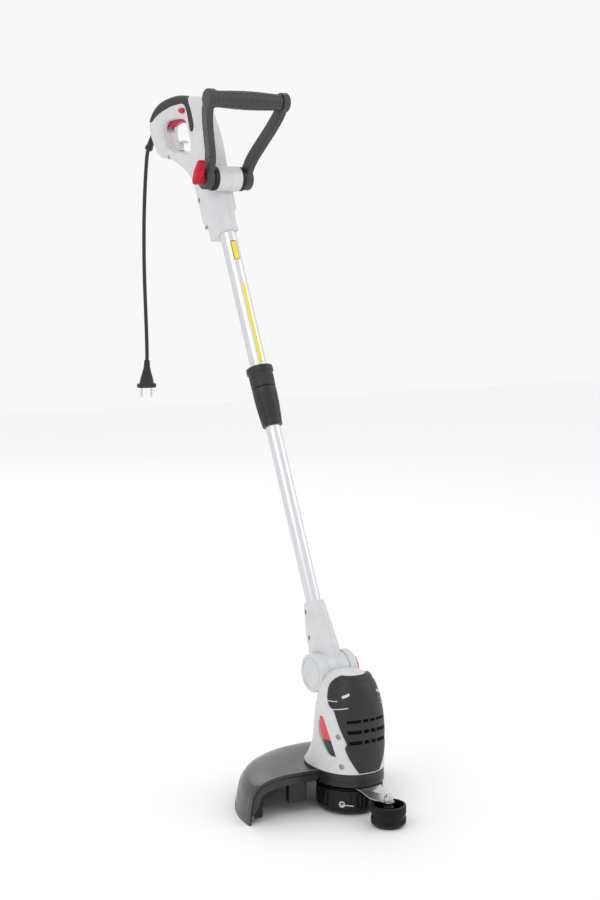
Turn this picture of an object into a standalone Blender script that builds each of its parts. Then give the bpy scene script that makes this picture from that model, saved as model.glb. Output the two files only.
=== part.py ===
"""Corded electric string trimmer, standing on its spool, guide wheel and guard.

The origin is on the floor under the spool's axis, +Z is up, -Y is the front where the guide wheel is,
and +Y is the side where the user stands. The shaft leans back from a tilt axis in the motor head. Pieces
on the shaft are drawn in the shaft's own frame: x across, b towards the user and w up along the shaft,
from the tilt axis.
"""

import math

import bmesh
import bpy
from mathutils import Matrix, Vector

# Driving dimensions, in metres and degrees
SHAFT_LEAN = math.radians(24.3)
TILT_AXIS = Vector((0.0, 0.0573, 0.209))
GAP = 0.0003  # between touching pieces

UPPER_TUBE_R, UPPER_TUBE_WALL = 0.0143, 0.0015
LOWER_TUBE_R, LOWER_TUBE_WALL = 0.0125, 0.0012
LOWER_TUBE_W = (0.046, 0.600)
UPPER_TUBE_W = (0.432, 0.858)
COLLAR_W = (0.417, 0.4845, 0.522)  # bottom, seam between sleeve and ring, top
NECK_TOP_W = 0.114

HANDLE_HALF = 0.018  # half the handle's width
HANDLE_WALL = 0.0026
BOSS_B, BOSS_W, BOSS_R, BOSS_HALF = -0.0338, 0.8565, 0.0215, 0.0225
TRIGGER_PIVOT = (0.026, 1.0005)
BUTTON_AT, BUTTON_HALF, BUTTON_TILT = (0.0255, 1.0180), (0.0100, 0.0048), math.radians(30.0)
LOOP_REACH, LOOP_LEAN = 0.1450, math.radians(29.3)
LOOP_HUB_X, LOOP_GRIP_X = 0.0385, 0.0715
# The clamp lever's sections from its hub outwards: x, half depth, half height and the middle's height
KNOB_SECTIONS = (
    (-0.0458, 0.0100, 0.0100, 0.0000), (-0.0490, 0.0100, 0.0105, 0.0000), (-0.0505, 0.0085, 0.0215, 0.0100),
    (-0.0600, 0.0080, 0.0228, 0.0105), (-0.0632, 0.0055, 0.0205, 0.0105),
)

EAR_R, EAR_X = 0.031, (0.0214, 0.0357)
KNUCKLE_R = 0.0298
TILT_BUTTON_R = 0.0240
RING_Z = (0.0470, 0.0684)
GUARD_TURN = (math.radians(42.0), math.radians(136.0))  # where the guard starts and how far it goes round
GUARD_R = 0.183
SPOOL_R, SPOOL_Z = 0.0535, (0.003, 0.0405)
EYELET_TURNS, EYELET_Z = (math.radians(223.0), math.radians(43.0)), 0.0200
WHEEL_Y, WHEEL_R, WHEEL_H = -0.1060, 0.0272, 0.0340
CORD_R = 0.0035

# The motor head's level sections: height, half width, front and back
HEAD_SECTIONS = (
    (0.0687, 0.0560, -0.0560, 0.0880),
    (0.0820, 0.0550, -0.0560, 0.0765),
    (0.1050, 0.0535, -0.0550, 0.0640),
    (0.1400, 0.0510, -0.0525, 0.0595),
    (0.1680, 0.0480, -0.0485, 0.0570),
    (0.1920, 0.0420, -0.0420, 0.0515),
    (0.2080, 0.0355, -0.0335, 0.0430),
    (0.2180, 0.0265, -0.0240, 0.0310),
    (0.2222, 0.0140, -0.0100, 0.0160),
)

# Colours: base colour, roughness, metallic
GREY_ABS = ("light_grey_abs", (0.72, 0.73, 0.74), 0.42, 0.0)
BLACK_PLASTIC = ("black_plastic", (0.018, 0.018, 0.020), 0.48, 0.0)
SMOKED_PLASTIC = ("smoked_plastic", (0.045, 0.043, 0.042), 0.30, 0.0)
SOFT_RUBBER = ("soft_rubber", (0.025, 0.024, 0.024), 0.75, 0.0)
RED_PLASTIC = ("red_plastic", (0.62, 0.02, 0.045), 0.38, 0.0)
ALUMINIUM = ("aluminium", (0.80, 0.81, 0.83), 0.28, 1.0)
STEEL = ("steel", (0.55, 0.56, 0.57), 0.25, 1.0)
COPPER = ("copper", (0.72, 0.35, 0.18), 0.35, 1.0)
NYLON = ("orange_nylon", (0.85, 0.30, 0.03), 0.35, 0.0)

for old in list(bpy.data.objects):
    bpy.data.objects.remove(old, do_unlink=True)

PARTS = bpy.data.collections.new("string_trimmer")
CUTTERS = bpy.data.collections.new("cutters")
bpy.context.scene.collection.children.link(PARTS)
bpy.context.scene.collection.children.link(CUTTERS)


def material(finish):
    """The Principled material of a finish, made once."""
    name, colour, roughness, metallic = finish
    found = bpy.data.materials.get(name)
    if found:
        return found
    made = bpy.data.materials.new(name)
    made.use_nodes = True
    shader = made.node_tree.nodes["Principled BSDF"]
    shader.inputs["Base Color"].default_value = (*colour, 1.0)
    shader.inputs["Roughness"].default_value = roughness
    shader.inputs["Metallic"].default_value = metallic
    return made


def empty(name, location, rotation=(0.0, 0.0, 0.0), parent=None):
    """An empty that holds a frame or a joint's axis."""
    frame = bpy.data.objects.new(name, None)
    frame.location = location
    frame.rotation_euler = rotation
    frame.parent = parent
    PARTS.objects.link(frame)
    return frame


def place(name, mesh, finish, parent=None, location=(0.0, 0.0, 0.0), rotation=(0.0, 0.0, 0.0)):
    """An object for a mesh, in the parts' collection, or a cutter where the finish is None."""
    obj = bpy.data.objects.new(name, mesh)
    obj.location = location
    obj.rotation_euler = rotation
    obj.parent = parent
    if finish is None:
        CUTTERS.objects.link(obj)
        obj.hide_render = True
        obj.display_type = "WIRE"
        return obj
    PARTS.objects.link(obj)
    mesh.materials.clear()
    mesh.materials.append(material(finish))
    mesh.shade_smooth()
    mesh.set_sharp_from_angle(angle=math.radians(35))
    return obj


def mesh_of(bm, name):
    """The mesh of a bmesh, which it frees."""
    mesh = bpy.data.meshes.new(name)
    bm.to_mesh(mesh)
    bm.free()
    return mesh


def round_edges(obj, width, segments=1, angle=40.0):
    bevel = obj.modifiers.new("rounded", "BEVEL")
    bevel.width = width
    bevel.segments = segments
    bevel.limit_method = "ANGLE"
    bevel.angle_limit = math.radians(angle)
    return obj


def boolean(obj, other, operation="DIFFERENCE"):
    """A live Boolean with another object, which stays in the cutters' collection."""
    step = obj.modifiers.new(operation.lower(), "BOOLEAN")
    step.operation = operation
    step.object = other
    return obj


def box(name, size, location, finish, parent=None, rotation=(0.0, 0.0, 0.0), bevel=0.0):
    bm = bmesh.new()
    bmesh.ops.create_cube(bm, size=1.0)
    bmesh.ops.scale(bm, vec=size, verts=bm.verts)
    obj = place(name, mesh_of(bm, name), finish, parent, location, rotation)
    return round_edges(obj, bevel) if bevel else obj


def rod(name, radius, length, location, finish, parent=None, axis="Z", segments=20, bevel=0.0):
    """A cylinder along one axis, centred on location."""
    bm = bmesh.new()
    bmesh.ops.create_cone(bm, cap_ends=True, segments=segments, radius1=radius, radius2=radius, depth=length)
    turn = {"X": Matrix.Rotation(math.pi / 2, 3, "Y"), "Y": Matrix.Rotation(-math.pi / 2, 3, "X")}
    if axis in turn:
        bmesh.ops.rotate(bm, matrix=turn[axis], verts=bm.verts)
    obj = place(name, mesh_of(bm, name), finish, parent, location)
    return round_edges(obj, bevel) if bevel else obj


def turned(
    name, profile, finish, parent=None, location=(0.0, 0.0, 0.0), rotation=(0.0, 0.0, 0.0), steps=32,
    ring=False
):
    """A profile of (radius, height) turned about Z, down its outer side. A ring's closes on itself."""
    bm = bmesh.new()
    points = [bm.verts.new((radius, 0.0, height)) for radius, height in profile]
    pairs = list(zip(points, points[1:]))
    if ring:
        pairs.append((points[-1], points[0]))
    for first, second in pairs:
        bm.edges.new((first, second))
    obj = place(name, mesh_of(bm, name), finish, parent, location, rotation)
    screw = obj.modifiers.new("turned", "SCREW")
    screw.steps = steps
    screw.render_steps = steps
    screw.use_merge_vertices = True
    screw.merge_threshold = 0.00001
    screw.use_smooth_shade = False
    return obj


def pipe_profile(outer, inner, low, high):
    return [(outer, high), (outer, low), (inner, low), (inner, high)]


def from_curve(curve_object, finish):
    """The curve as a mesh object, with its caps welded."""
    bpy.context.view_layer.update()
    graph = bpy.context.evaluated_depsgraph_get()
    mesh = bpy.data.meshes.new_from_object(curve_object.evaluated_get(graph))
    bm = bmesh.new()
    bm.from_mesh(mesh)
    bmesh.ops.remove_doubles(bm, verts=bm.verts, dist=0.00001)
    bmesh.ops.recalc_face_normals(bm, faces=bm.faces)
    bm.to_mesh(mesh)
    bm.free()
    name = curve_object.name
    parent, location = curve_object.parent, curve_object.location.copy()
    rotation = curve_object.rotation_euler.copy()
    bpy.data.objects.remove(curve_object, do_unlink=True)
    return place(name, mesh, finish, parent, location, rotation)


def even_outline(outline, step):
    """Points about a step apart on a closed Catmull-Rom curve through the outline's points."""
    count = len(outline)
    fine = []
    for i in range(count):
        before, start, stop, after = (Vector(outline[(i + k) % count]) for k in (-1, 0, 1, 2))
        for j in range(12):
            t = j / 12
            fine.append(
                0.5 * (
                    2 * start + (stop - before) * t + (2 * before - 5 * start + 4 * stop - after) * t**2
                    + (3 * start - before - 3 * stop + after) * t**3
                )
            )
    lengths = [(q - p).length for p, q in zip(fine, fine[1:] + fine[:1])]
    wanted = max(8, round(sum(lengths) / step))
    even, gone, i = [], 0.0, 0
    for k in range(wanted):
        target = k * sum(lengths) / wanted
        while gone + lengths[i] < target:
            gone += lengths[i]
            i += 1
        even.append(fine[i].lerp(fine[(i + 1) % len(fine)], (target - gone) / lengths[i]))
    return [tuple(point) for point in even]


def moved_in(points, amount):
    """A clockwise outline's points moved inwards, or an anticlockwise hole's points moved outwards."""
    found = []
    for before, point, after in zip([points[-1], *points[:-1]], points, [*points[1:], points[0]]):
        along = (Vector(after) - Vector(before)).normalized()
        found.append((point[0] + amount * along.y, point[1] - amount * along.x))
    return found


def slab(
    name, outlines, thickness, finish, parent=None, location=(0.0, 0.0, 0.0), upright=True, step=0.0,
    rounding=0.0,
    inset=0.0,
):
    """A flat outline with holes, extruded. Upright, it lies in b and w, with its thickness in x."""
    data = bpy.data.curves.new(name, "CURVE")
    data.dimensions = "2D"
    data.fill_mode = "BOTH"
    data.extrude = thickness / 2 - rounding
    data.bevel_depth = rounding
    data.offset = -rounding
    data.bevel_resolution = 0
    for number, outline in enumerate(outlines):
        points = even_outline(outline, step) if step else outline
        area = sum(p[0] * q[1] - q[0] * p[1] for p, q in zip(points, [*points[1:], points[0]]))
        if (area > 0) == (number == 0):
            points = points[::-1]
        points = moved_in(points, inset)
        spline = data.splines.new("POLY")
        spline.use_cyclic_u = True
        spline.points.add(len(points) - 1)
        for point, (across, up) in zip(spline.points, points):
            point.co = (across, up, 0.0, 1.0)
    curve = bpy.data.objects.new(name, data)
    curve.parent = parent
    curve.location = location
    if upright:
        curve.rotation_euler = (math.pi / 2, 0.0, math.pi / 2)
    PARTS.objects.link(curve)
    return from_curve(curve, finish)


def tube(name, points, radius, finish):
    """A round bar along points."""
    data = bpy.data.curves.new(name, "CURVE")
    data.dimensions = "3D"
    data.bevel_depth = radius
    data.bevel_resolution = 2
    data.use_fill_caps = True
    spline = data.splines.new("POLY")
    spline.points.add(len(points) - 1)
    for point, place_at in zip(spline.points, points):
        point.co = (*place_at, 1.0)
    curve = bpy.data.objects.new(name, data)
    PARTS.objects.link(curve)
    return from_curve(curve, finish)


def smooth_route(route, step):
    """Points about a step apart on a Catmull-Rom curve through the route's points."""
    ends = [2 * route[0] - route[1], *route, 2 * route[-1] - route[-2]]
    found = []
    for before, start, stop, after in zip(ends, ends[1:], ends[2:], ends[3:]):
        count = max(1, round((stop - start).length / step))
        for i in range(count):
            t = i / count
            found.append(
                0.5 * (
                    2 * start + (stop - before) * t + (2 * before - 5 * start + 4 * stop - after) * t**2
                    + (3 * start - before - 3 * stop + after) * t**3
                )
            )
    found.append(route[-1])
    return found


def loft(name, rings, finish, parent=None):
    """A closed skin over rings of equally many points, with a flat cap on the first and the last ring."""
    bm = bmesh.new()
    rows = [[bm.verts.new(point) for point in ring] for ring in rings]
    count = len(rows[0])
    for low, high in zip(rows, rows[1:]):
        for i in range(count):
            j = (i + 1) % count
            bm.faces.new((low[i], low[j], high[j], high[i]))
    bm.faces.new(list(reversed(rows[0])))
    bm.faces.new(rows[-1])
    bmesh.ops.recalc_face_normals(bm, faces=bm.faces)
    return place(name, mesh_of(bm, name), finish, parent)


def oval(half_width, front, back, height, count, power=2.25, start=0.0, turn=2 * math.pi, grow=0.0):
    """Points of a superellipse in a level plane, anticlockwise from +X."""
    found = []
    half_depth, middle = (back - front) / 2 + grow, (back + front) / 2
    for i in range(count):
        angle = start + turn * i / (count if abs(turn) > 6.28 else count - 1)
        c, s = math.cos(angle), math.sin(angle)
        x = (half_width + grow) * math.copysign(abs(c) ** (2 / power), c)
        y = middle + half_depth * math.copysign(abs(s) ** (2 / power), s)
        found.append((x, y, height))
    return found


def head_section(z):
    """The head's half width, front and back at a height, between the sections listed above."""
    for low, high in zip(HEAD_SECTIONS, HEAD_SECTIONS[1:]):
        if z <= high[0]:
            t = max(0.0, (z - low[0]) / (high[0] - low[0]))
            return [a + (b - a) * t for a, b in zip(low[1:], high[1:])]
    return list(HEAD_SECTIONS[-1][1:])


def half_space(name, side, parent=None, location=(0.0, 0.0, 0.0)):
    """A cutter that takes away the half of a piece beyond the middle plane. side is the half that is kept."""
    size = 1.4
    middle = (location[0] - side * (size / 2 - GAP / 2), location[1], location[2])
    return box(name, (size, size, 2 * size), middle, None, parent)


shaft = empty("tilt_axis", TILT_AXIS, (-SHAFT_LEAN, 0.0, 0.0))


def make_head_shells():
    """The motor housing's halves, each with the ear that carries the tilt axis."""
    count, wall = 24, 0.0026
    knuckle_room = rod("knuckle_room", KNUCKLE_R + 0.003, 2 * EAR_X[0], TILT_AXIS, None, axis="X",
                       segments=28)
    bolt_hole = rod("tilt_bolt_hole", 0.0043, 0.2, TILT_AXIS, None, axis="X", segments=16)
    hole_at = TILT_AXIS + Vector((0.0330, 0, 0))
    button_hole = rod("tilt_button_hole", 0.0118, 0.026, hole_at, None, axis="X", segments=20)
    recess_at = TILT_AXIS + Vector((0.0360, 0, 0))
    button_recess = rod("tilt_button_recess", TILT_BUTTON_R + 0.0007, 0.012, recess_at, None, axis="X",
                        segments=28)
    outside = [oval(*size, z, count) for z, *size in HEAD_SECTIONS]
    inside = [oval(*size, z - 0.8 * wall, count, grow=-wall) for z, *size in HEAD_SECTIONS[:-1]]
    cavity = loft("housing_cavity", inside, None)
    for side, word in ((-1, "left"), (1, "right")):
        shell = loft(f"motor_housing_{word}", outside, GREY_ABS)
        middle = side * (sum(EAR_X) / 2 - 0.001)
        width = EAR_X[1] - EAR_X[0] + 0.002
        ear = rod(f"ear_{word}", EAR_R, width, TILT_AXIS + Vector((middle, 0, 0)), None, axis="X",
                  segments=28)
        round_edges(ear, 0.0022)
        boolean(shell, cavity)
        boolean(shell, ear, "UNION")
        boolean(shell, knuckle_room)
        boolean(shell, bolt_hole)
        if side > 0:
            boolean(shell, button_hole)
            boolean(shell, button_recess)
        boolean(shell, half_space(f"housing_{word}_cut", side))


def make_front_cover():
    """A shell over the housing's front, wide at the top and narrow at the ring, with three rows of vents."""
    reach = ((0.0705, 0.40), (0.0800, 0.52), (0.0950, 0.72), (0.1050, 0.76), (0.1110, 0.62), (0.1300, 0.76),
             (0.1500, 0.98), (0.1680, 1.18), (0.1850, 1.32), (0.2000, 1.36), (0.2120, 1.30), (0.2186, 1.12))
    columns = 13
    rings = []
    for z, half_turn in reach:
        half_width, front, back = head_section(z)
        first = -math.pi / 2 - half_turn
        arc = oval(half_width, front, back, z, columns, start=first, turn=2 * half_turn, grow=0.0030)
        rings.append([*arc, (0.0, (front + back) / 2, z)])
    cover = loft("front_cover", rings, BLACK_PLASTIC)
    boolean(cover, loft("cover_room", [oval(*size, z, 24, grow=GAP) for z, *size in HEAD_SECTIONS], None))
    for row, z in enumerate((0.117, 0.133, 0.149)):
        for side, word in ((-1, "left"), (1, "right")):
            width = 0.020 + 0.004 * row
            slot = box(
                f"vent_{word}_{row}", (width, 0.05, 0.0050), (side * (0.0055 + width / 2), -0.05, z), None,
                rotation=(0.0, side * 0.10, 0.0),
            )
            boolean(cover, slot)


def make_ring_and_guard():
    """The ring under the housing, the guard round the back, its rib block and the line cutter."""
    count = 28
    base = HEAD_SECTIONS[0]
    low = oval(base[1], base[2], base[3], RING_Z[0], count)
    high = oval(base[1], base[2], base[3], RING_Z[1], count)
    ring = loft("base_ring", [low, high], BLACK_PLASTIC)
    round_edges(ring, 0.0012)
    inner = [oval(base[1], base[2], base[3], z, count, grow=-0.0032) for z in (RING_Z[0] + 0.004,
                                                                               RING_Z[1] + 0.01)]
    boolean(ring, loft("ring_pocket", inner, None))
    boolean(ring, rod("ring_shaft_hole", 0.012, 0.05, (0, 0, RING_Z[0]), None, segments=24))

    outer = [(0.0500, 0.0645), (0.1150, 0.0662), (0.1450, 0.0632), (0.1650, 0.0560), (0.1765, 0.0400),
             (GUARD_R, 0.0)]
    inner = [(0.1800, 0.0), (0.1737, 0.0390), (0.1634, 0.0536), (0.1444, 0.0606), (0.1150, 0.0636),
             (0.0500, 0.0619)]
    rings = []
    for i in range(25):
        angle = GUARD_TURN[0] + GUARD_TURN[1] * i / 24
        lip = 0.0045 * max(0.0, 1.0 - (24 - i) / 1.5)
        rings.append([(r * math.cos(angle), r * math.sin(angle), z + lip * (z > 0.02)) for r,
                      z in outer + inner])
    guard = loft("guard", rings, SMOKED_PLASTIC)
    room = [oval(base[1], base[2], base[3], z, count, grow=GAP) for z in (0.03, 0.09)]
    boolean(guard, loft("guard_room", room, None))

    end = GUARD_TURN[0] + GUARD_TURN[1]
    block_turn = end - math.radians(9.0)
    block_at = Vector((0.092 * math.cos(block_turn), 0.092 * math.sin(block_turn), 0.0405))
    box("guard_rib_block", (0.030, 0.016, 0.042), block_at, BLACK_PLASTIC, rotation=(0, 0, block_turn),
        bevel=0.0015)
    blade_turn = end - math.radians(2.6)
    blade_r = 0.1630
    blade_at = Vector((blade_r * math.cos(blade_turn), blade_r * math.sin(blade_turn), 0.0190))
    box("line_cutter", (0.014, 0.0020, 0.024), blade_at, STEEL, rotation=(0, 0, blade_turn), bevel=0.0003)


def make_motor():
    """The motor: stator and end plates stay; the armature, its shaft, fan and commutator spin."""
    turned("motor_stator", pipe_profile(0.0320, 0.0200, 0.092, 0.140), STEEL, steps=22, ring=True)
    turned("motor_plate", pipe_profile(0.0300, 0.0052, 0.0838, 0.0878), ALUMINIUM, steps=24, ring=True)
    turned("armature", pipe_profile(0.0194, 0.0043, 0.093, 0.139), STEEL, steps=24, ring=True)
    turned("commutator", pipe_profile(0.0105, 0.0043, 0.143, 0.156), COPPER, steps=20, ring=True)
    fan = turned("motor_fan", pipe_profile(0.0330, 0.0043, 0.0745, 0.0765), BLACK_PLASTIC, steps=24,
                 ring=True)
    for i in range(6):
        turn = i * math.pi / 3
        blade = box(f"fan_blade_{i}", (0.022, 0.0016, 0.0055),
                    (0.020 * math.cos(turn), 0.020 * math.sin(turn), 0.0787),
                    None, rotation=(0, 0, turn + 0.35))
        boolean(fan, blade, "UNION")
    rod("motor_shaft", 0.0040, 0.148, (0, 0, 0.0955), STEEL, segments=16)


def make_spool():
    """What spins under the ring: upper housing, reel of line, cap with its eyelets, and tap knob."""
    turned("spool_housing", [(0.0110, 0.0445), (0.0110, 0.0425), (0.0490, 0.0425), (0.0490, 0.0390),
                             (0.0046, 0.0390),
                             (0.0046, 0.0445)], BLACK_PLASTIC, steps=24, ring=True)
    wall = 0.0024
    cap = [(SPOOL_R - 0.001, SPOOL_Z[1]), (SPOOL_R, SPOOL_Z[1] - 0.001), (SPOOL_R, 0.0110),
           (SPOOL_R - 0.0022, 0.0060),
           (SPOOL_R - 0.0070, SPOOL_Z[0]), (0.0300, SPOOL_Z[0]), (0.0300, SPOOL_Z[0] + wall),
           (SPOOL_R - 0.0085, SPOOL_Z[0] + wall), (SPOOL_R - wall, 0.0120), (SPOOL_R - wall, SPOOL_Z[1])]
    cap = turned("spool_cap", cap, BLACK_PLASTIC, steps=28, ring=True)
    for number, turn in enumerate(EYELET_TURNS):
        c, s = math.cos(turn), math.sin(turn)
        hole_at = (0.0525 * c, 0.0525 * s, EYELET_Z)
        hole = rod(f"eyelet_hole_{number}", 0.0046, 0.02, hole_at, None, axis="X", segments=16)
        hole.rotation_euler = (0, 0, turn)
        boolean(cap, hole)
        turned(f"line_eyelet_{number + 1}",
               [(0.0055, 0.0016), (0.0055, GAP), (0.0042, GAP), (0.0042, -0.0030), (0.0022, -0.0030),
                (0.0022, 0.0016)],
               STEEL, location=((SPOOL_R + 0.0001) * c, (SPOOL_R + 0.0001) * s, EYELET_Z),
               rotation=(0, math.pi / 2, turn), steps=12, ring=True)
    turned("line_reel", [(0.0440, 0.0365), (0.0440, 0.0345), (0.0250, 0.0345), (0.0250, 0.0155),
                         (0.0440, 0.0155),
                         (0.0440, 0.0135), (0.0200, 0.0135), (0.0200, 0.0365)], BLACK_PLASTIC, steps=22,
                         ring=True)
    turned("wound_line", pipe_profile(0.0400, 0.0253, 0.0159, 0.0341), NYLON, steps=22, ring=True)
    turned("tap_spring", pipe_profile(0.0125, 0.0100, 0.0160, 0.0372), STEEL, steps=16, ring=True)
    turned("tap_knob", [(0.0, 0.0150), (0.0140, 0.0150), (0.0140, 0.0090), (0.0190, 0.0090), (0.0285, 0.0085),
                        (0.0285, 0.0030), (0.0255, 0.0), (0.0, 0.0)], BLACK_PLASTIC, steps=22)


def make_wheel():
    """The edge guide: a bent steel bracket under the ring, its bolt, and a ribbed wheel open at the top."""
    side_view = [(-0.030, 0.0464), (-0.056, 0.0464), (-0.078, 0.0382), (-0.120, 0.0382),
                 (-0.120, 0.0366), (-0.0785, 0.0366), (-0.0565, 0.0448), (-0.030, 0.0448)]
    bracket = slab("wheel_bracket", [side_view], 0.060, STEEL)
    fan = [(-0.023, -0.030), (-0.0225, -0.052), (-0.0095, WHEEL_Y), (-0.0065, WHEEL_Y - 0.0068),
           (0.0, WHEEL_Y - 0.0095), (0.0065, WHEEL_Y - 0.0068), (0.0095, WHEEL_Y), (0.0225, -0.052),
           (0.023, -0.030)]
    outline = slab("bracket_outline", [fan], 0.04, None, location=(0, 0, 0.042), upright=False)
    boolean(bracket, outline, "INTERSECT")
    boolean(bracket, rod("bracket_bolt_hole", 0.0043, 0.03, (0, WHEEL_Y, 0.037), None, segments=16))
    boolean(bracket, rod("bracket_shaft_hole", 0.0125, 0.03, (0, 0, 0.045), None, segments=16))
    axis = empty("wheel_axis", (0, WHEEL_Y, 0))
    turned("wheel_bolt", [(0.0, 0.0500), (0.0040, 0.0500), (0.0040, 0.0455), (0.0078, 0.0450),
                          (0.0078, 0.0386),
                          (0.0040, 0.0386), (0.0040, 0.0070), (0.0, 0.0070)], STEEL, parent=axis, steps=12)
    r, h = WHEEL_R, WHEEL_H
    turned("guide_wheel",
           [(r, h), (r, 0.0200), (r - 0.0022, 0.0185), (r - 0.0022, 0.0165), (r, 0.0150), (r, 0.0050),
            (r - 0.0060, 0.0), (0.0115, 0.0), (0.0043, 0.0080), (0.0043, 0.0300), (0.0080, 0.0300),
            (0.0090, 0.0120),
            (r - 0.0045, 0.0060), (r - 0.0035, h)],
           BLACK_PLASTIC, parent=axis, steps=24, ring=True)


def make_neck():
    """The tilt neck: a knuckle between the ears and a tapered body on the lower tube, in two halves."""
    sections = ((0.012, 0.0208, -0.0255, 0.0260), (0.036, 0.0208, -0.0290, 0.0330),
                (0.070, 0.0190, -0.0240, 0.0285),
                (0.100, 0.0172, -0.0195, 0.0195), (NECK_TOP_W, 0.0160, -0.0165, 0.0160))
    bore = rod("neck_bore", LOWER_TUBE_R + GAP, 0.1, (0, 0, LOWER_TUBE_W[0] + 0.05 - GAP), None, shaft,
               segments=28)
    pivot = rod("neck_pivot_hole", 0.0043, 0.1, (0, 0, 0), None, shaft, axis="X", segments=16)
    button_room = rod("neck_button_room", 0.0121, 0.0105, (0.0195, 0, 0), None, shaft, axis="X", segments=20)
    for side, word in ((-1, "left"), (1, "right")):
        rings = [oval(half_width, front, back, w, 20, power=2.0) for w, half_width, front, back in sections]
        neck = loft(f"neck_{word}", rings, GREY_ABS, shaft)
        round_edges(neck, 0.0015, angle=60)
        width = 2 * (EAR_X[0] - GAP)
        knuckle = rod(f"knuckle_{word}", KNUCKLE_R, width, (0, 0, 0), None, shaft, axis="X", segments=28)
        boolean(neck, knuckle, "UNION")
        boolean(neck, bore)
        boolean(neck, pivot)
        if side > 0:
            boolean(neck, button_room)
        boolean(neck, half_space(f"neck_{word}_cut", side, shaft))
    rod("tilt_bolt", 0.0040, 0.0510, TILT_AXIS + Vector((-0.0075, 0, 0)), STEEL, axis="X", segments=16)
    button_axis = empty("tilt_button_axis", TILT_AXIS)
    turned("tilt_button",
           [(0.0, 0.0147), (TILT_BUTTON_R - 0.0015, 0.0147), (TILT_BUTTON_R, 0.0132), (TILT_BUTTON_R, 0.0087),
            (0.0112, 0.0087), (0.0112, 0.0), (0.0, 0.0)],
           RED_PLASTIC, parent=button_axis, location=(0.0258, 0, 0), rotation=(0, math.pi / 2, 0), steps=28)


def make_tubes():
    """Two aluminium tubes that telescope, the bush on the lower one's top and the twist collar."""
    turned("lower_tube", pipe_profile(LOWER_TUBE_R, LOWER_TUBE_R - LOWER_TUBE_WALL, *LOWER_TUBE_W),
           ALUMINIUM, shaft,
           steps=22, ring=True)
    turned("upper_tube", pipe_profile(UPPER_TUBE_R, UPPER_TUBE_R - UPPER_TUBE_WALL, *UPPER_TUBE_W),
           ALUMINIUM, shaft,
           steps=22, ring=True)
    bush_r, bush_w = UPPER_TUBE_R - UPPER_TUBE_WALL - GAP, LOWER_TUBE_W[1]
    turned("slider_bush", pipe_profile(bush_r, 0.0070, bush_w + GAP, bush_w + 0.022), BLACK_PLASTIC, shaft,
           steps=24,
           ring=True)
    low, seam, high = COLLAR_W
    inner = UPPER_TUBE_R + GAP
    turned("collar_ring",
           [(0.0215, high), (0.0230, high - 0.0015), (0.0232, high - 0.0095), (0.0212, high - 0.0115),
            (0.0208, seam + GAP), (inner, seam + GAP), (inner, high)],
           BLACK_PLASTIC, shaft, steps=24, ring=True)
    lip = LOWER_TUBE_R + GAP
    turned("lock_sleeve",
           [(0.0205, seam), (0.0208, seam - 0.0050), (0.0200, seam - 0.0280), (0.0180, low + 0.0120),
            (0.0168, low),
            (lip, low), (lip, UPPER_TUBE_W[0] - GAP), (inner, UPPER_TUBE_W[0] - GAP), (inner, seam)],
           BLACK_PLASTIC, shaft, steps=24, ring=True)


# The rear handle's outlines, as (b, w): from the top's front over the hump, down the back, up the front
HANDLE_OUTLINE = (
    (-0.014, 1.024), (0.006, 1.037), (0.035, 1.0535), (0.069, 1.0665), (0.100, 1.0735), (0.128, 1.0715),
    (0.147, 1.0615), (0.1545, 1.045), (0.1525, 1.020), (0.147, 0.998), (0.137, 0.983), (0.118, 0.971),
    (0.096, 0.9545),
    (0.062, 0.916), (0.049, 0.885), (0.0475, 0.840), (0.0465, 0.805), (0.042, 0.7775), (0.030, 0.7680),
    (0.004, 0.7680),
    (-0.018, 0.7700), (-0.0225, 0.785), (-0.0235, 0.830), (-0.0250, 0.880), (-0.0295, 0.930),
    (-0.0275, 0.966),
    (-0.0200, 1.003),
)
HANDLE_OPENING = (
    (0.0268, 0.988), (0.0300, 1.000), (0.0450, 1.0120), (0.0700, 1.0240), (0.0920, 1.0310), (0.1062, 1.0255),
    (0.1105, 1.0080), (0.1050, 0.9890), (0.0900, 0.9735), (0.0700, 0.9615), (0.0500, 0.9480),
    (0.0370, 0.9415),
    (0.0285, 0.9520), (0.0262, 0.9700),
)
GRIP_BAND = (
    (0.0000, 1.0420), (-0.0005, 1.0200), (-0.0020, 1.0000), (-0.0005, 0.9780), (0.0060, 0.9685),
    (0.0140, 0.9730),
    (0.0125, 0.9950), (0.0118, 1.0120), (0.0180, 1.0270), (0.0400, 1.0375), (0.0652, 1.0460),
    (0.0950, 1.0530),
    (0.1200, 1.0555), (0.1400, 1.0560), (0.1500, 1.0800), (0.1000, 1.0950), (0.0300, 1.0750),
)
TRIGGER_ROOM = (
    (0.0180, 0.9880), (0.0180, 1.0080), (0.0400, 1.0300), (0.0750, 1.0450), (0.1030, 1.0500),
    (0.1120, 1.0400),
    (0.1100, 1.0200), (0.0850, 1.0120), (0.0550, 1.0020), (0.0300, 0.9880),
)
RELIEF_START, RELIEF_TURN = (0.0, 0.6251, 1.1071), math.radians(44.4)


def button_outline(grow=0.0):
    """The lock-off button's oval, with its long axis along the handle's top."""
    c, s = math.cos(BUTTON_TILT), math.sin(BUTTON_TILT)
    found = []
    for i in range(20):
        angle = 2 * math.pi * i / 20
        along, up = (BUTTON_HALF[0] + grow) * math.cos(angle), (BUTTON_HALF[1] + grow) * math.sin(angle)
        found.append((along * c - up * s, along * s + up * c))
    return found


def handle_body(name, finish, width):
    """The handle's full outline with its finger opening, rounded all over."""
    return slab(name, [HANDLE_OUTLINE, HANDLE_OPENING], width, finish, shaft, step=0.0125, rounding=0.0052)


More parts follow.
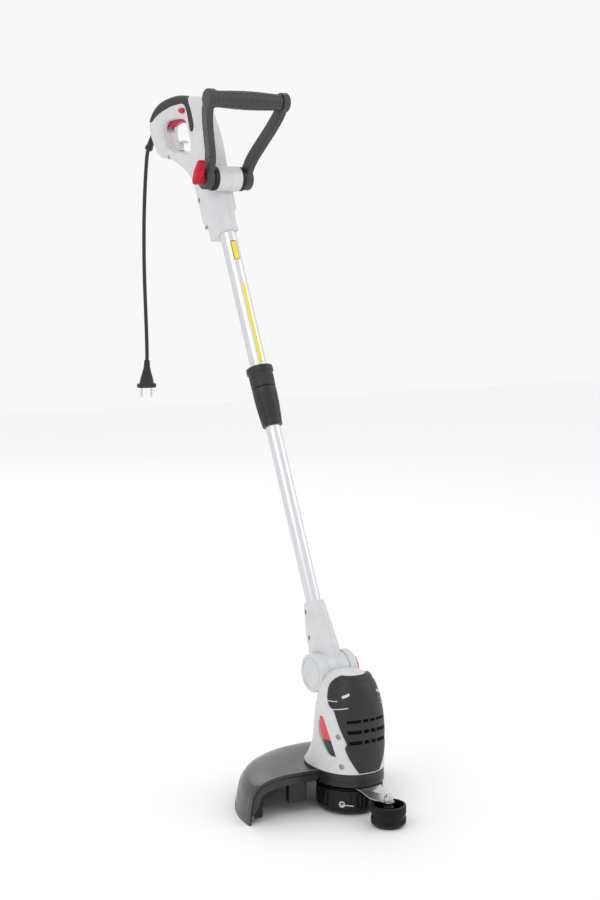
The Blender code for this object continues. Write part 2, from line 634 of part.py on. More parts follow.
def make_handle():
    """The rear handle: two hollow halves round the upper tube, and the soft grip over their top."""
    cavity = slab("handle_cavity", [HANDLE_OUTLINE, HANDLE_OPENING], 2 * (HANDLE_HALF - HANDLE_WALL), None,
                  shaft,
                  step=0.0170, inset=HANDLE_WALL)
    bore = rod("handle_bore", UPPER_TUBE_R + GAP, 0.12, (0, 0, 0.80), None, shaft, segments=28)
    slot = slab("trigger_slot", [TRIGGER_ROOM], 0.0152, None, shaft)
    button_hole = slab("lock_off_hole", [button_outline(0.0004)], 0.1, None, shaft, location=(0, *BUTTON_AT))
    boss_hole = rod("boss_bolt_hole", 0.0043, 0.1, (0, BOSS_B, BOSS_W), None, shaft, axis="X", segments=16)
    relief_room = turned("relief_room", [(0.0, 0.010), (0.0070, 0.010), (0.0070, -0.05), (0.0, -0.05)], None,
                         location=RELIEF_START, rotation=(RELIEF_TURN, 0, 0), steps=20)
    band_room = slab("grip_room", [GRIP_BAND], 0.05, None, shaft, step=0.0090)
    for side, word in ((-1, "left"), (1, "right")):
        shell = handle_body(f"handle_shell_{word}", GREY_ABS, 2 * HANDLE_HALF)
        boolean(shell, cavity)
        boss = rod(f"boss_{word}", BOSS_R, 2 * BOSS_HALF, (0, BOSS_B, BOSS_W), None, shaft, axis="X",
                   segments=32)
        boolean(shell, boss, "UNION")
        boolean(shell, boss_hole)
        boolean(shell, bore)
        boolean(shell, slot)
        boolean(shell, button_hole)
        boolean(shell, band_room)
        boolean(shell, relief_room)
        boolean(shell, half_space(f"handle_{word}_cut", side, shaft, (0, 0, 0.9)))
    grip = slab("soft_grip", [GRIP_BAND], 0.06, SOFT_RUBBER, shaft, step=0.0090, inset=GAP)
    boolean(grip, handle_body("grip_skin", None, 2 * (HANDLE_HALF + 0.0006)), "INTERSECT")
    boolean(grip, cavity)


def make_controls():
    """The trigger on its pivot, the lock-off button that crosses the handle, and the switch."""
    pivot = empty("trigger_pivot", (0, *TRIGGER_PIVOT), parent=shaft)
    blade = [(-0.0035, 0.0005), (0.0100, 0.0085), (0.0380, 0.0225), (0.0620, 0.0325), (0.0750, 0.0365),
             (0.0805, 0.0325), (0.0770, 0.0265), (0.0660, 0.0220), (0.0540, 0.0200), (0.0360, 0.0150),
             (0.0220, 0.0060), (0.0060, -0.0055), (-0.0020, -0.0040)]
    slab("trigger", [blade], 0.0140, RED_PLASTIC, pivot, step=0.0050, rounding=0.0020)
    button_axis = empty("lock_off_axis", (0, *BUTTON_AT), parent=shaft)
    slab("lock_off_button", [button_outline()], 0.0440, RED_PLASTIC, button_axis, rounding=0.0010)
    switch_turn = (0.30, 0, 0)
    box("switch_body", (0.016, 0.026, 0.010), (0, 0.085, 1.0505), BLACK_PLASTIC, shaft, switch_turn,
        bevel=0.0006)


def make_loop_handle():
    """The front handle: a loop on toothed discs at the boss's ends, with a barrel grip and a clamp knob."""
    disc = [(0.0205, 0.0080), (0.0205, GAP), (0.0043, GAP), (0.0043, 0.0080)]
    for side, word in ((-1, "left"), (1, "right")):
        turned(f"boss_disc_{word}", disc, BLACK_PLASTIC, shaft, location=(side * BOSS_HALF, BOSS_B, BOSS_W),
               rotation=(0, side * math.pi / 2, 0), steps=22, ring=True)
    rod("loop_bolt", 0.0040, 0.0980, (-0.0020, BOSS_B, BOSS_W), STEEL, shaft, axis="X", segments=16)
    pivot = empty("loop_pivot", (0, BOSS_B, BOSS_W), (SHAFT_LEAN + LOOP_LEAN, 0, 0), shaft)
    disc_end = BOSS_HALF + 0.0080 + GAP
    hub_out = 0.0455
    thick, wide = 0.0065, 0.0120
    spine = ((LOOP_HUB_X, 0.004), (LOOP_HUB_X, 0.030), (0.0500, 0.062), (0.0620, 0.095), (LOOP_GRIP_X, 0.127),
             (LOOP_GRIP_X, LOOP_REACH))
    for side, word in ((-1, "left"), (1, "right")):
        middle = side * (disc_end + hub_out) / 2
        length = hub_out - disc_end
        hub = rod(f"loop_arm_{word}", 0.0190, length, (middle, 0, 0), BLACK_PLASTIC, pivot, axis="X",
                  segments=22)
        round_edges(hub, 0.0015)
        rings = []
        for x, height in spine:
            rise = 0.30 * thick if 0.04 < height < LOOP_REACH - 0.004 else 0.0
            rings.append([(side * (x + thick), -wide, height - rise),
                          (side * (x + thick), wide, height - rise),
                          (side * (x - thick), wide, height + rise),
                          (side * (x - thick), -wide, height + rise)])
        if side < 0:
            rings = [list(reversed(ring)) for ring in rings]
        arm = loft(f"arm_bar_{word}", rings, None, pivot)
        round_edges(arm, 0.0030, angle=60)
        boolean(hub, arm, "UNION")
        end_at = (side * LOOP_GRIP_X, 0, LOOP_REACH)
        cap = rod(f"arm_end_{word}", 0.0165, 0.0140, end_at, None, pivot, axis="X", segments=22)
        round_edges(cap, 0.0020)
        boolean(hub, cap, "UNION")
        hole_at = (side * LOOP_HUB_X, 0, 0)
        boolean(hub, rod(f"loop_bolt_hole_{word}", 0.0043, 0.02, hole_at, None, pivot, axis="X", segments=16))
    half = LOOP_GRIP_X - 0.0070 - GAP
    turned("loop_grip",
           [(0.0, half), (0.0135, half), (0.0138, half - 0.006), (0.0150, 0.035), (0.0157, 0.0),
            (0.0150, -0.035),
            (0.0138, -half + 0.006), (0.0135, -half), (0.0, -half)],
           SOFT_RUBBER, pivot, location=(0, 0, LOOP_REACH), rotation=(0, math.pi / 2, 0), steps=24)
    knob_axis = empty("clamp_axis", (0, 0, 0), parent=pivot)
    knob_rings = []
    for x, half_deep, half_tall, middle in KNOB_SECTIONS:
        angles = [2 * math.pi * i / 28 for i in range(28)]
        knob_rings.append([(x, half_deep * math.sin(a), middle + half_tall * math.cos(a)) for a in angles])
    knob = loft("clamp_knob", knob_rings, RED_PLASTIC, knob_axis)
    hole = rod("clamp_knob_hole", 0.0043, 0.012, (-0.0470, 0, 0), None, knob_axis, axis="X", segments=16)
    boolean(knob, hole)


# The lead's route, from the strain relief's end down to the plug
CORD_ROUTE = (
    (0.0, 0.6631, 1.0684), (0.0, 0.6658, 1.0650), (0.0, 0.6695, 1.0560), (0.0, 0.6733, 1.0370),
    (0.0, 0.6775, 1.0100),
    (0.0, 0.6815, 0.9750), (0.0, 0.6845, 0.9380), (0.0, 0.6860, 0.8970), (0.0, 0.6862, 0.8560),
    (0.0, 0.6850, 0.8150),
    (0.0, 0.6825, 0.7700), (0.0, 0.6800, 0.7250), (0.0, 0.6790, 0.6900), (0.0, 0.6795, 0.6730),
)


def make_cord():
    """The strain relief behind the handle, the lead that hangs from it, and its two-pin plug."""
    turned("strain_relief",
           [(0.0, 0.0), (0.0066, 0.0), (0.0066, -0.0470), (0.0074, -0.0490), (0.0074, -0.0536),
            (0.0, -0.0536)],
           BLACK_PLASTIC, location=RELIEF_START, rotation=(RELIEF_TURN, 0, 0), steps=20)
    route = [Vector(point) for point in CORD_ROUTE]
    tube("cord", smooth_route(route, 0.0135), CORD_R, SOFT_RUBBER)
    end = route[-1] + Vector((0.0, 0.0, -0.0022))
    plug = empty("plug_frame", end, (math.radians(6.0), 0, math.radians(-14.0)))
    outline = [(0.0050, 0.0), (0.0062, -0.012), (0.0100, -0.022), (0.0165, -0.032), (0.0180, -0.036),
               (0.0185, -0.0375),
               (0.0185, -0.0480), (0.0170, -0.0495), (-0.0170, -0.0495), (-0.0185, -0.0480),
               (-0.0185, -0.0375),
               (-0.0180, -0.036), (-0.0165, -0.032), (-0.0100, -0.022), (-0.0062, -0.012), (-0.0050, 0.0)]
    body = slab("plug_body", [outline], 0.0150, BLACK_PLASTIC, plug, step=0.0045, rounding=0.0040)
    body.rotation_euler = (math.pi / 2, 0, 0)
    for side, word in ((-1, "left"), (1, "right")):
        turned(f"plug_pin_{word}", [(0.0, 0.0), (0.0020, 0.0), (0.0020, -0.0170), (0.0012, -0.0190),
                                    (0.0, -0.0190)],
               STEEL, parent=plug, location=(side * 0.0095, 0, -0.0495 - GAP), steps=12)


def make_fasteners():
    """Screw heads on the left half of the handle and of the motor housing."""
    proud = 0.0013
    head = [(0.0, 0.0014), (0.0032, 0.0009), (0.0038, -0.0010), (0.0, -0.0010)]
    for number, (b, w) in enumerate(((0.0385, 0.8500), (0.0385, 0.7980), (0.1060, 0.9680))):
        turned(f"handle_screw_{number + 1}", head, STEEL, parent=shaft,
               location=(-HANDLE_HALF - proud, b, w), rotation=(0, -math.pi / 2, 0), steps=12)
    for number, (z, turn) in enumerate(((0.1280, 55.0), (0.0810, 46.0))):
        half_width, front, back = head_section(z)
        angle = math.radians(-90.0 - turn)
        x, y, z = oval(half_width, front, back, z, 2, start=angle, turn=1.0, grow=0.0018)[0]
        facing = math.atan2(y - (front + back) / 2, x)
        turned(f"housing_screw_{number + 1}", head, STEEL, location=(x, y, z),
               rotation=(0, math.pi / 2, facing),
               steps=12)


make_head_shells()
make_front_cover()
make_ring_and_guard()
make_motor()
make_spool()
make_wheel()
make_neck()
make_tubes()
make_handle()
make_controls()
make_loop_handle()
make_cord()
make_fasteners()
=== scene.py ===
# %% [markdown]
# # A corded string trimmer
# The tool stands on its spool, its edge wheel and its guard, and its shaft leans back to the user. The frame below
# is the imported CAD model. Every new surface is worked out with numpy, rides on one of the frame's bodies, and stands
# for the CAD solids that it replaces.

# %% Load the frame
import math
import bmesh
import bpy
import numpy as np
from mathutils import Matrix, Vector


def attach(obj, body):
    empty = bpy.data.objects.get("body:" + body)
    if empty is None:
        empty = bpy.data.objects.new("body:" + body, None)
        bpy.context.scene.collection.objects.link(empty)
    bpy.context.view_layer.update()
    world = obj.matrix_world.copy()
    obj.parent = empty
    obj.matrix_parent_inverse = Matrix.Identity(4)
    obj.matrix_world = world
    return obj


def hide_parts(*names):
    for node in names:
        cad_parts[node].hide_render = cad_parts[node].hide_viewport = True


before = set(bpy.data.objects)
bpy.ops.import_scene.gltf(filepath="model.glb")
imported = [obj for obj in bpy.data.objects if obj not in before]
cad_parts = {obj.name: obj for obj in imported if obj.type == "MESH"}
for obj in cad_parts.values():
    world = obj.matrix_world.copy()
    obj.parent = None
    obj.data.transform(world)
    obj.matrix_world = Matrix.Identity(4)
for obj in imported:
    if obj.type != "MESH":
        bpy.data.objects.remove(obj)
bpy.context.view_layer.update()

# %% [markdown]
# ## Camera
# The camera comes first, because the lead is checked against what it sees. It stands 33 degrees to the left of the
# tool's front, a little above its middle, and looks slightly down. A long lens keeps the tall shaft straight.

# %% Camera
AZIMUTH, PITCH = math.radians(-33.0), math.radians(7.15)
SIGHT = Vector((-math.sin(AZIMUTH) * math.cos(PITCH), math.cos(AZIMUTH) * math.cos(PITCH), -math.sin(PITCH)))
camera_data = bpy.data.cameras.new("camera")
camera_data.sensor_fit = "VERTICAL"
camera_data.sensor_height = 36.0
camera_data.lens = 64.0
camera = bpy.data.objects.new("camera", camera_data)
camera.location = (-1.4121, -2.0294, 0.8832)
camera.rotation_euler = SIGHT.to_track_quat("-Z", "Y").to_euler()
bpy.context.scene.collection.objects.link(camera)
bpy.context.scene.camera = camera
print("camera looks along", [round(v, 3) for v in SIGHT])

# %% [markdown]
# ## Frames of the tool's own parts
# The shaft leans 24.3 degrees back from the tilt axis, so its pieces are easiest to draw in a frame of their own:
# x across, b towards the user, w up along the shaft. A frame here is an origin and three axes, and placing an array
# of points is one matrix product.

# %% Frames
SHAFT_LEAN, LOOP_LEAN = math.radians(24.3), math.radians(29.3)
TILT_AXIS = np.array((0.0, 0.0573, 0.209))
BOSS_B, BOSS_W, BOSS_R, BOSS_HALF = -0.0338, 0.8565, 0.0215, 0.0225
ACROSS = np.array((1.0, 0.0, 0.0))
BACK = np.array((0.0, math.cos(SHAFT_LEAN), -math.sin(SHAFT_LEAN)))
UP = np.array((0.0, math.sin(SHAFT_LEAN), math.cos(SHAFT_LEAN)))


def axes(origin, x, y, z):
    """A frame: its origin and a matrix whose columns are its three axes."""
    return np.array(origin, float), np.column_stack([x, y, z])


def placed(points, where):
    """Points of a frame in the row's frame: the origin plus each coordinate times its axis."""
    return points @ where[1].T + where[0]


def on_shaft(b, w, x=0.0):
    return TILT_AXIS + x * ACROSS + b * BACK + w * UP


WORLD = axes((0, 0, 0), (1, 0, 0), (0, 1, 0), (0, 0, 1))
SHAFT = axes(TILT_AXIS, ACROSS, BACK, UP)
SIDE = axes(TILT_AXIS, BACK, UP, ACROSS)  # a flat outline of (b, w), as thick as x goes
LOOP = axes(on_shaft(BOSS_B, BOSS_W), ACROSS, (0, math.cos(LOOP_LEAN), math.sin(LOOP_LEAN)),
            (0, -math.sin(LOOP_LEAN), math.cos(LOOP_LEAN)))


def pointing_x(origin, side=1):
    """A frame whose third axis runs along +X or -X."""
    return axes(origin, (0, side, 0), (0, 0, 1), (side, 0, 0))


print("front handle's pivot:", LOOP[0].round(4))

# %% [markdown]
# ## From a grid of points to a mesh
# Most pieces are a function of two parameters, worked out as one array of points. The faces join neighbours in the
# grid. Doubled points at a pole are merged, and then the normals are made to point outwards.

# %% Surfaces
def tidy(mesh, sharp=32.0):
    """Merges doubled points, turns the faces outwards and shades them smooth up to an angle."""
    bm = bmesh.new()
    bm.from_mesh(mesh)
    bmesh.ops.remove_doubles(bm, verts=bm.verts, dist=0.000004)
    bmesh.ops.dissolve_degenerate(bm, edges=bm.edges, dist=0.000002)
    bmesh.ops.recalc_face_normals(bm, faces=bm.faces)
    bm.to_mesh(mesh)
    bm.free()
    mesh.shade_smooth()
    mesh.set_sharp_from_angle(angle=math.radians(sharp))
    return mesh


def shown(name, mesh):
    piece = bpy.data.objects.new(name, mesh)
    bpy.context.scene.collection.objects.link(piece)
    return piece


def surface(name, grid, around=False, along=False, ends=False, sharp=32.0):
    """A mesh over points shaped (rows, columns, 3): around joins the last column to the first, along the last row."""
    rows, columns = grid.shape[:2]
    index = np.arange(rows * columns).reshape(rows, columns)
    first, last = index[0], index[-1]
    if around:
        index = np.hstack([index, index[:, :1]])
    if along:
        index = np.vstack([index, index[:1]])
    quads = np.stack([index[:-1, :-1], index[:-1, 1:], index[1:, 1:], index[1:, :-1]], -1).reshape(-1, 4).tolist()
    if ends:
        quads += [first[::-1].tolist(), last.tolist()]
    mesh = bpy.data.meshes.new(name)
    mesh.from_pydata(grid.reshape(-1, 3).tolist(), [], quads)
    return shown(name, tidy(mesh, sharp))


# %% [markdown]
# A moulded or turned edge is never quite sharp, and its small radius is what catches the light. So each corner of an
# outline is rounded before the outline is turned or extruded.

# %% Rounded outlines
def fillet(corners, radius, closed=False, steps=4):
    """Each corner becomes a quadratic curve: it leaves the outline radius before the corner and joins it after."""
    corners = np.array(corners, float)
    before, after = np.roll(corners, 1, 0) - corners, np.roll(corners, -1, 0) - corners
    lengths = np.linalg.norm(before, axis=1), np.linalg.norm(after, axis=1)
    reach = np.minimum(radius, 0.45 * np.minimum(*lengths))
    start = corners + before / lengths[0][:, None] * reach[:, None]
    stop = corners + after / lengths[1][:, None] * reach[:, None]
    t = np.linspace(0, 1, steps + 1)[:, None, None]
    curves = ((1 - t) ** 2 * start + 2 * t * (1 - t) * corners + t**2 * stop).transpose(1, 0, 2)
    if closed:
        return curves.reshape(-1, 2)
    return np.vstack([corners[:1], curves[1:-1].reshape(-1, 2), corners[-1:]])


def through(knots, values, at):
    """A Hermite curve through values at knots: at each knot its slope is the mean of the slopes on its two sides."""
    knots, values, at = np.asarray(knots, float), np.asarray(values, float), np.asarray(at, float)
    slopes = np.gradient(values, knots, axis=0)
    i = np.clip(np.searchsorted(knots, at) - 1, 0, len(knots) - 2)
    step = knots[i + 1] - knots[i]
    t = (at - knots[i]) / step
    if values.ndim == 2:
        t, step = t[:, None], step[:, None]
    return (
        (2 * t**3 - 3 * t**2 + 1) * values[i] + (t**3 - 2 * t**2 + t) * step * slopes[i]
        + (3 * t**2 - 2 * t**3) * values[i + 1] + (t**3 - t**2) * step * slopes[i + 1]
    )


def closed_curve(corners, step):
    """Points step apart on a closed Catmull-Rom curve: each stretch is the cubic of its four nearest corners."""
    p = np.array(corners, float)
    t = np.linspace(0, 1, 24, endpoint=False)[:, None, None]
    a, b, c, d = np.roll(p, 1, 0), p, np.roll(p, -1, 0), np.roll(p, -2, 0)
    fine = 0.5 * (2 * b + (c - a) * t + (2 * a - 5 * b + 4 * c - d) * t**2 + (3 * b - a - 3 * c + d) * t**3)
    fine = fine.transpose(1, 0, 2).reshape(-1, 2)
    loop = np.vstack([fine, fine[:1]])
    gone = np.concatenate([[0], np.cumsum(np.linalg.norm(np.diff(loop, axis=0), axis=1))])
    at = np.linspace(0, gone[-1], max(12, round(gone[-1] / step)), endpoint=False)
    return np.column_stack([np.interp(at, gone, loop[:, k]) for k in (0, 1)])


def turned(name, outline, where, steps=72, radius=0.0006, wave=None, closed=False, sharp=32.0):
    """An outline of (radius, height) turned about the frame's third axis. wave(angle, height) adds to the radius."""
    outline = fillet(outline, radius, closed)
    angle = np.linspace(0, 2 * np.pi, steps, endpoint=False)[None, :]
    r, h = outline[:, 0][:, None], outline[:, 1][:, None]
    if wave is not None:
        r = r + wave(angle, h, r)
    grid = np.stack([r * np.cos(angle), r * np.sin(angle), h + 0 * angle], -1)
    return surface(name, placed(grid, where), around=True, along=closed, sharp=sharp)


def corner(wave, power):
    """A cosine or a sine bent so that the oval it draws is squarer: power 2 is an ellipse, and more is boxier."""
    return np.sign(wave) * np.abs(wave) ** (2 / power)


def window(value, low, high, edge):
    """1 between low and high and 0 outside, with an eased edge that wide."""
    t = np.clip((value - low) / edge, 0, 1) * np.clip((high - value) / edge, 0, 1)
    return t * t * (3 - 2 * t)


print("helpers ready:", fillet([(0, 0), (1, 0), (1, 1)], 0.2).shape, "points on a test corner")

# %% [markdown]
# The handle is a flat outline with a finger opening and a generous radius all round, which is what Blender's flat
# curves make well: the outline is filled, extruded and bevelled, then turned into a mesh and put in place.

# %% Flat pieces and Booleans
def flat_piece(name, outlines, thickness, rounding, where, middle=0.0):
    """Closed outlines, the first the outer one, filled and extruded to thickness, with rims of the radius rounding."""
    data = bpy.data.curves.new(name, "CURVE")
    data.dimensions = "2D"
    data.fill_mode = "BOTH"
    data.extrude = thickness / 2 - rounding
    data.bevel_depth = rounding
    data.offset = -rounding
    data.bevel_resolution = 5 if rounding else 0
    for number, points in enumerate(outlines):
        points = np.asarray(points)
        following = np.roll(points, -1, 0)
        area = (points[:, 0] * following[:, 1] - following[:, 0] * points[:, 1]).sum()
        if (area > 0) == (number == 0):
            points = points[::-1]
        spline = data.splines.new("POLY")
        spline.use_cyclic_u = True
        spline.points.add(len(points) - 1)
        spline.points.foreach_set("co", np.column_stack([points, 0 * points[:, 0], 0 * points[:, 0] + 1]).ravel())
    curve = shown(name, data)
    bpy.context.view_layer.update()
    mesh = bpy.data.meshes.new_from_object(curve.evaluated_get(bpy.context.evaluated_depsgraph_get()))
    bpy.data.objects.remove(curve, do_unlink=True)
    points = np.empty(len(mesh.vertices) * 3, np.float32)
    mesh.vertices.foreach_get("co", points)
    points = points.reshape(-1, 3) + (0, 0, middle)
    mesh.vertices.foreach_set("co", placed(points, where).astype(np.float32).ravel())
    return shown(name, tidy(mesh))


def carve(piece, tool, operation="DIFFERENCE", keep=False):
    """Applies a Boolean of the two and removes the tool, unless it is kept for another piece."""
    step = piece.modifiers.new("carve", "BOOLEAN")
    step.operation = operation
    step.object = tool
    bpy.context.view_layer.update()
    mesh = bpy.data.meshes.new_from_object(piece.evaluated_get(bpy.context.evaluated_depsgraph_get()))
    piece.modifiers.clear()
    piece.data = mesh
    if not keep:
        bpy.data.objects.remove(tool, do_unlink=True)
    mesh.shade_smooth()
    mesh.set_sharp_from_angle(angle=math.radians(32))
    return piece


def block(name, low, high):
    """A plain box between two corners, used only as a tool."""
    x, y, z = zip(low, high)
    grid = np.array([[(x[0], y[0], k), (x[1], y[0], k), (x[1], y[1], k), (x[0], y[1], k)] for k in z])
    return surface(name, grid, around=True, ends=True)


def halves(piece, names, seam=0.00015):
    """The piece cut in two along the tool's middle plane, with a fine seam between."""
    kept = []
    for side, name in ((-1, names[0]), (1, names[1])):
        half = shown(name, piece.data.copy())
        near, far = sorted((side * seam, side * 0.3))
        carve(half, block("half_room", (near, -0.5, -0.1), (far, 1.0, 1.5)), "INTERSECT")
        kept.append(half)
    bpy.data.objects.remove(piece, do_unlink=True)
    return kept


def joined(name, pieces):
    """Several meshes as one piece."""
    bm = bmesh.new()
    for piece in pieces:
        bm.from_mesh(piece.data)
        bpy.data.objects.remove(piece, do_unlink=True)
    mesh = bpy.data.meshes.new(name)
    bm.to_mesh(mesh)
    bm.free()
    mesh.shade_smooth()
    mesh.set_sharp_from_angle(angle=math.radians(32))
    return shown(name, mesh)


# %% [markdown]
# ## Finishes
# Colours are given as the sRGB hex values that a paint or plastics card would show, and one function turns them into
# the linear values that a shader works with. One small function adds a node with its settings and links.

# %% Material helpers
def linear(hex_colour):
    """sRGB to linear: divide by 12.92 in the shadows, else the 2.4 power of (value + 0.055) / 1.055."""
    value = np.array([int(hex_colour[i:i + 2], 16) / 255 for i in (1, 3, 5)])
    value = np.where(value <= 0.04045, value / 12.92, ((value + 0.055) / 1.055) ** 2.4)
    return (*value, 1.0)


def add(tree, kind, inputs=None, **settings):
    """Adds a node. inputs maps a socket's name or number to a value or to the socket that feeds it."""
    made = tree.nodes.new("ShaderNode" + kind)
    for name, value in settings.items():
        setattr(made, name, value)
    for key, value in (inputs or {}).items():
        if isinstance(value, bpy.types.NodeSocket):
            tree.links.new(value, made.inputs[key])
        else:
            made.inputs[key].default_value = value
    return made


def blank(name):
    """A new material, its tree and its Principled shader."""
    made = bpy.data.materials.new(name)
    made.use_nodes = True
    tree = made.node_tree
    return made, tree, tree.nodes["Principled BSDF"]


def per_mm(size_mm):
    """The texture scale at which one cell of noise is size_mm across, in a space measured in metres."""
    return 1000.0 / size_mm


def turned_space(tree, rotation=(0, 0, 0), scale=(1, 1, 1)):
    place = add(tree, "TexCoord").outputs["Object"]
    return add(tree, "Mapping", {"Vector": place, "Rotation": rotation, "Scale": scale}).outputs["Vector"]


# %% [markdown]
# Most of the tool is injection moulded. A moulded skin copies the spark-eroded steel of its mould, a grain of a few
# tenths of a millimetre that breaks up a highlight. The real grain is too fine to show from this far, so it is drawn
# about four times coarser. Handling polishes it in patches, which a much larger noise puts into the roughness.

# %% Moulded plastics
def moulded(name, colour, darker, roughness, grain_mm, bump_mm, coat=0.0, specular=0.5):
    made, tree, shader = blank(name)
    space = turned_space(tree)
    grain = add(tree, "TexNoise", {"Vector": space, "Scale": per_mm(grain_mm), "Detail": 3.0, "Roughness": 0.6})
    patches = add(tree, "TexNoise", {"Vector": space, "Scale": per_mm(38), "Detail": 4.0, "Roughness": 0.55})
    tint = add(tree, "ValToRGB", {"Fac": patches.outputs["Fac"]})
    tint.color_ramp.elements[0].position, tint.color_ramp.elements[0].color = 0.35, linear(darker)
    tint.color_ramp.elements[1].position, tint.color_ramp.elements[1].color = 0.65, linear(colour)
    polish = add(tree, "MapRange", {"Value": patches.outputs["Fac"], 1: 0.3, 2: 0.7, 3: roughness - 0.06, 4: roughness + 0.07})
    relief = add(tree, "Bump", {"Height": grain.outputs["Fac"], "Distance": bump_mm / 1000, "Strength": 0.6})
    tree.links.new(tint.outputs["Color"], shader.inputs["Base Color"])
    tree.links.new(polish.outputs["Result"], shader.inputs["Roughness"])
    tree.links.new(relief.outputs["Normal"], shader.inputs["Normal"])
    shader.inputs["IOR"].default_value = 1.53
    shader.inputs["Specular IOR Level"].default_value = specular
    shader.inputs["Coat Weight"].default_value = coat
    shader.inputs["Coat Roughness"].default_value = 0.25
    return made


# ABS in light grey: a satin, faintly grained case
GREY_ABS = moulded("light_grey_moulded_abs", "#d3d5d6", "#cbcdcf", 0.40, 0.9, 0.04)
# Glass-filled nylon: nearly black, its grain deeper and its sheen broader than the case's
BLACK_NYLON = moulded("black_glass_filled_nylon", "#1f1e21", "#18171a", 0.40, 0.8, 0.05, specular=0.45)
# The same nylon in the loop handle, drawn greyer all over than the case's
LOOP_NYLON = moulded("dark_grey_glass_filled_nylon", "#3a393d", "#313034", 0.42, 0.8, 0.05)
# Polypropylene of the guard: smoked grey, smooth on its outside, so the lamps draw long soft streaks on it
GUARD_PP = moulded("smoked_polypropylene", "#2c2927", "#23201f", 0.28, 1.6, 0.02, coat=0.1)
# Polyacetal of what the user presses or turns: red, smooth and slightly waxy
RED_ACETAL = moulded("red_acetal", "#c8142f", "#bb112a", 0.38, 1.4, 0.02, specular=0.25)
# Polypropylene of the spool: black and smoother than the nylon
SPOOL_PP = moulded("black_polypropylene", "#0e0d0f", "#0a090b", 0.40, 1.0, 0.04, specular=0.3)
# PVC of the lead and its plug: a soft black with a dull shine
PVC = moulded("black_pvc", "#1c1b1d", "#161517", 0.42, 0.7, 0.04)
# Thermoplastic elastomer moulded over the handle: a warm, dark, dry grey
SOFT_TPE = moulded("dark_grey_elastomer", "#383532", "#2f2c2a", 0.62, 0.7, 0.08, specular=0.35)
# Butadiene rubber of the front grip: black, with a slight oily sheen on its ridges
GRIP_RUBBER = moulded("black_grip_rubber", "#37363a", "#2f2e32", 0.42, 0.8, 0.05)
# Painted shade: a near-black sheet for what the vents show, the unlit inside of the motor room
VENT_SHADE = moulded("painted_vent_shade", "#09090a", "#060607", 0.80, 2.0, 0.02, specular=0.1)
print("moulded plastics made: 10")

# %% [markdown]
# The tubes are drawn aluminium, anodised clear. Drawing leaves faint lines along the tube, so the noise is squeezed
# across it and stretched along it. The bracket is cold-rolled steel under bright zinc, whose crystals vary a little
# in brightness.

# %% Metals
def metal(name, colour, darker, roughness, rotation, scale, pattern_mm, bump_mm):
    made, tree, shader = blank(name)
    space = turned_space(tree, rotation, scale)
    lines = add(tree, "TexNoise", {"Vector": space, "Scale": per_mm(pattern_mm), "Detail": 5.0, "Roughness": 0.6})
    tint = add(tree, "ValToRGB", {"Fac": lines.outputs["Fac"]})
    tint.color_ramp.elements[0].position, tint.color_ramp.elements[0].color = 0.3, linear(darker)
    tint.color_ramp.elements[1].position, tint.color_ramp.elements[1].color = 0.7, linear(colour)
    gloss = add(tree, "MapRange", {"Value": lines.outputs["Fac"], 1: 0.3, 2: 0.7, 3: roughness + 0.06, 4: roughness - 0.04})
    relief = add(tree, "Bump", {"Height": lines.outputs["Fac"], "Distance": bump_mm / 1000, "Strength": 0.5})
    tree.links.new(tint.outputs["Color"], shader.inputs["Base Color"])
    tree.links.new(gloss.outputs["Result"], shader.inputs["Roughness"])
    tree.links.new(relief.outputs["Normal"], shader.inputs["Normal"])
    shader.inputs["Metallic"].default_value = 1.0
    return made


ALONG_SHAFT = (SHAFT_LEAN, 0, 0)
ALUMINIUM = metal("clear_anodised_aluminium", "#e4e5e7", "#d2d4d8", 0.30, ALONG_SHAFT, (1, 1, 0.02), 0.8, 0.02)
ZINC = metal("bright_zinc_on_steel", "#d9dadb", "#b9bbbe", 0.20, (0, 0, 0), (1, 1, 1), 3.0, 0.02)
STEEL = metal("machined_steel", "#b4b5b8", "#9fa1a5", 0.30, (0, 0, 0), (1, 1, 0.05), 0.8, 0.02)
NICKEL = metal("nickel_plated_brass", "#dcd8cf", "#c9c4ba", 0.22, (0, 0, 0), (1, 1, 0.1), 0.9, 0.01)
BLACK_OXIDE = metal("black_oxide_steel", "#3b3a3d", "#2c2b2e", 0.42, (0, 0, 0), (1, 1, 1), 1.5, 0.02)
COPPER = metal("copper_segments", "#c98256", "#8f5636", 0.28, (0, 0, 0), (1, 1, 0.02), 1.6, 0.03)
LAMINATE = metal("laminated_core_steel", "#8c8d90", "#55565a", 0.42, (0, 0, 0), (0.02, 0.02, 1), 0.7, 0.05)
print("metals made: 7")

# %% [markdown]
# The cutting line is smooth nylon, wound in layers. The stickers are glossy vinyl, each in one plain colour.

# %% Line and stickers
def vinyl(name, colour):
    made, tree, shader = blank(name)
    print_grain = add(tree, "TexNoise", {"Vector": turned_space(tree), "Scale": per_mm(1.2), "Detail": 2.0})
    relief = add(tree, "Bump", {"Height": print_grain.outputs["Fac"], "Distance": 0.00002, "Strength": 0.4})
    tree.links.new(relief.outputs["Normal"], shader.inputs["Normal"])
    shader.inputs["Base Color"].default_value = linear(colour)
    shader.inputs["Roughness"].default_value = 0.28
    shader.inputs["Coat Weight"].default_value = 0.4
    return made


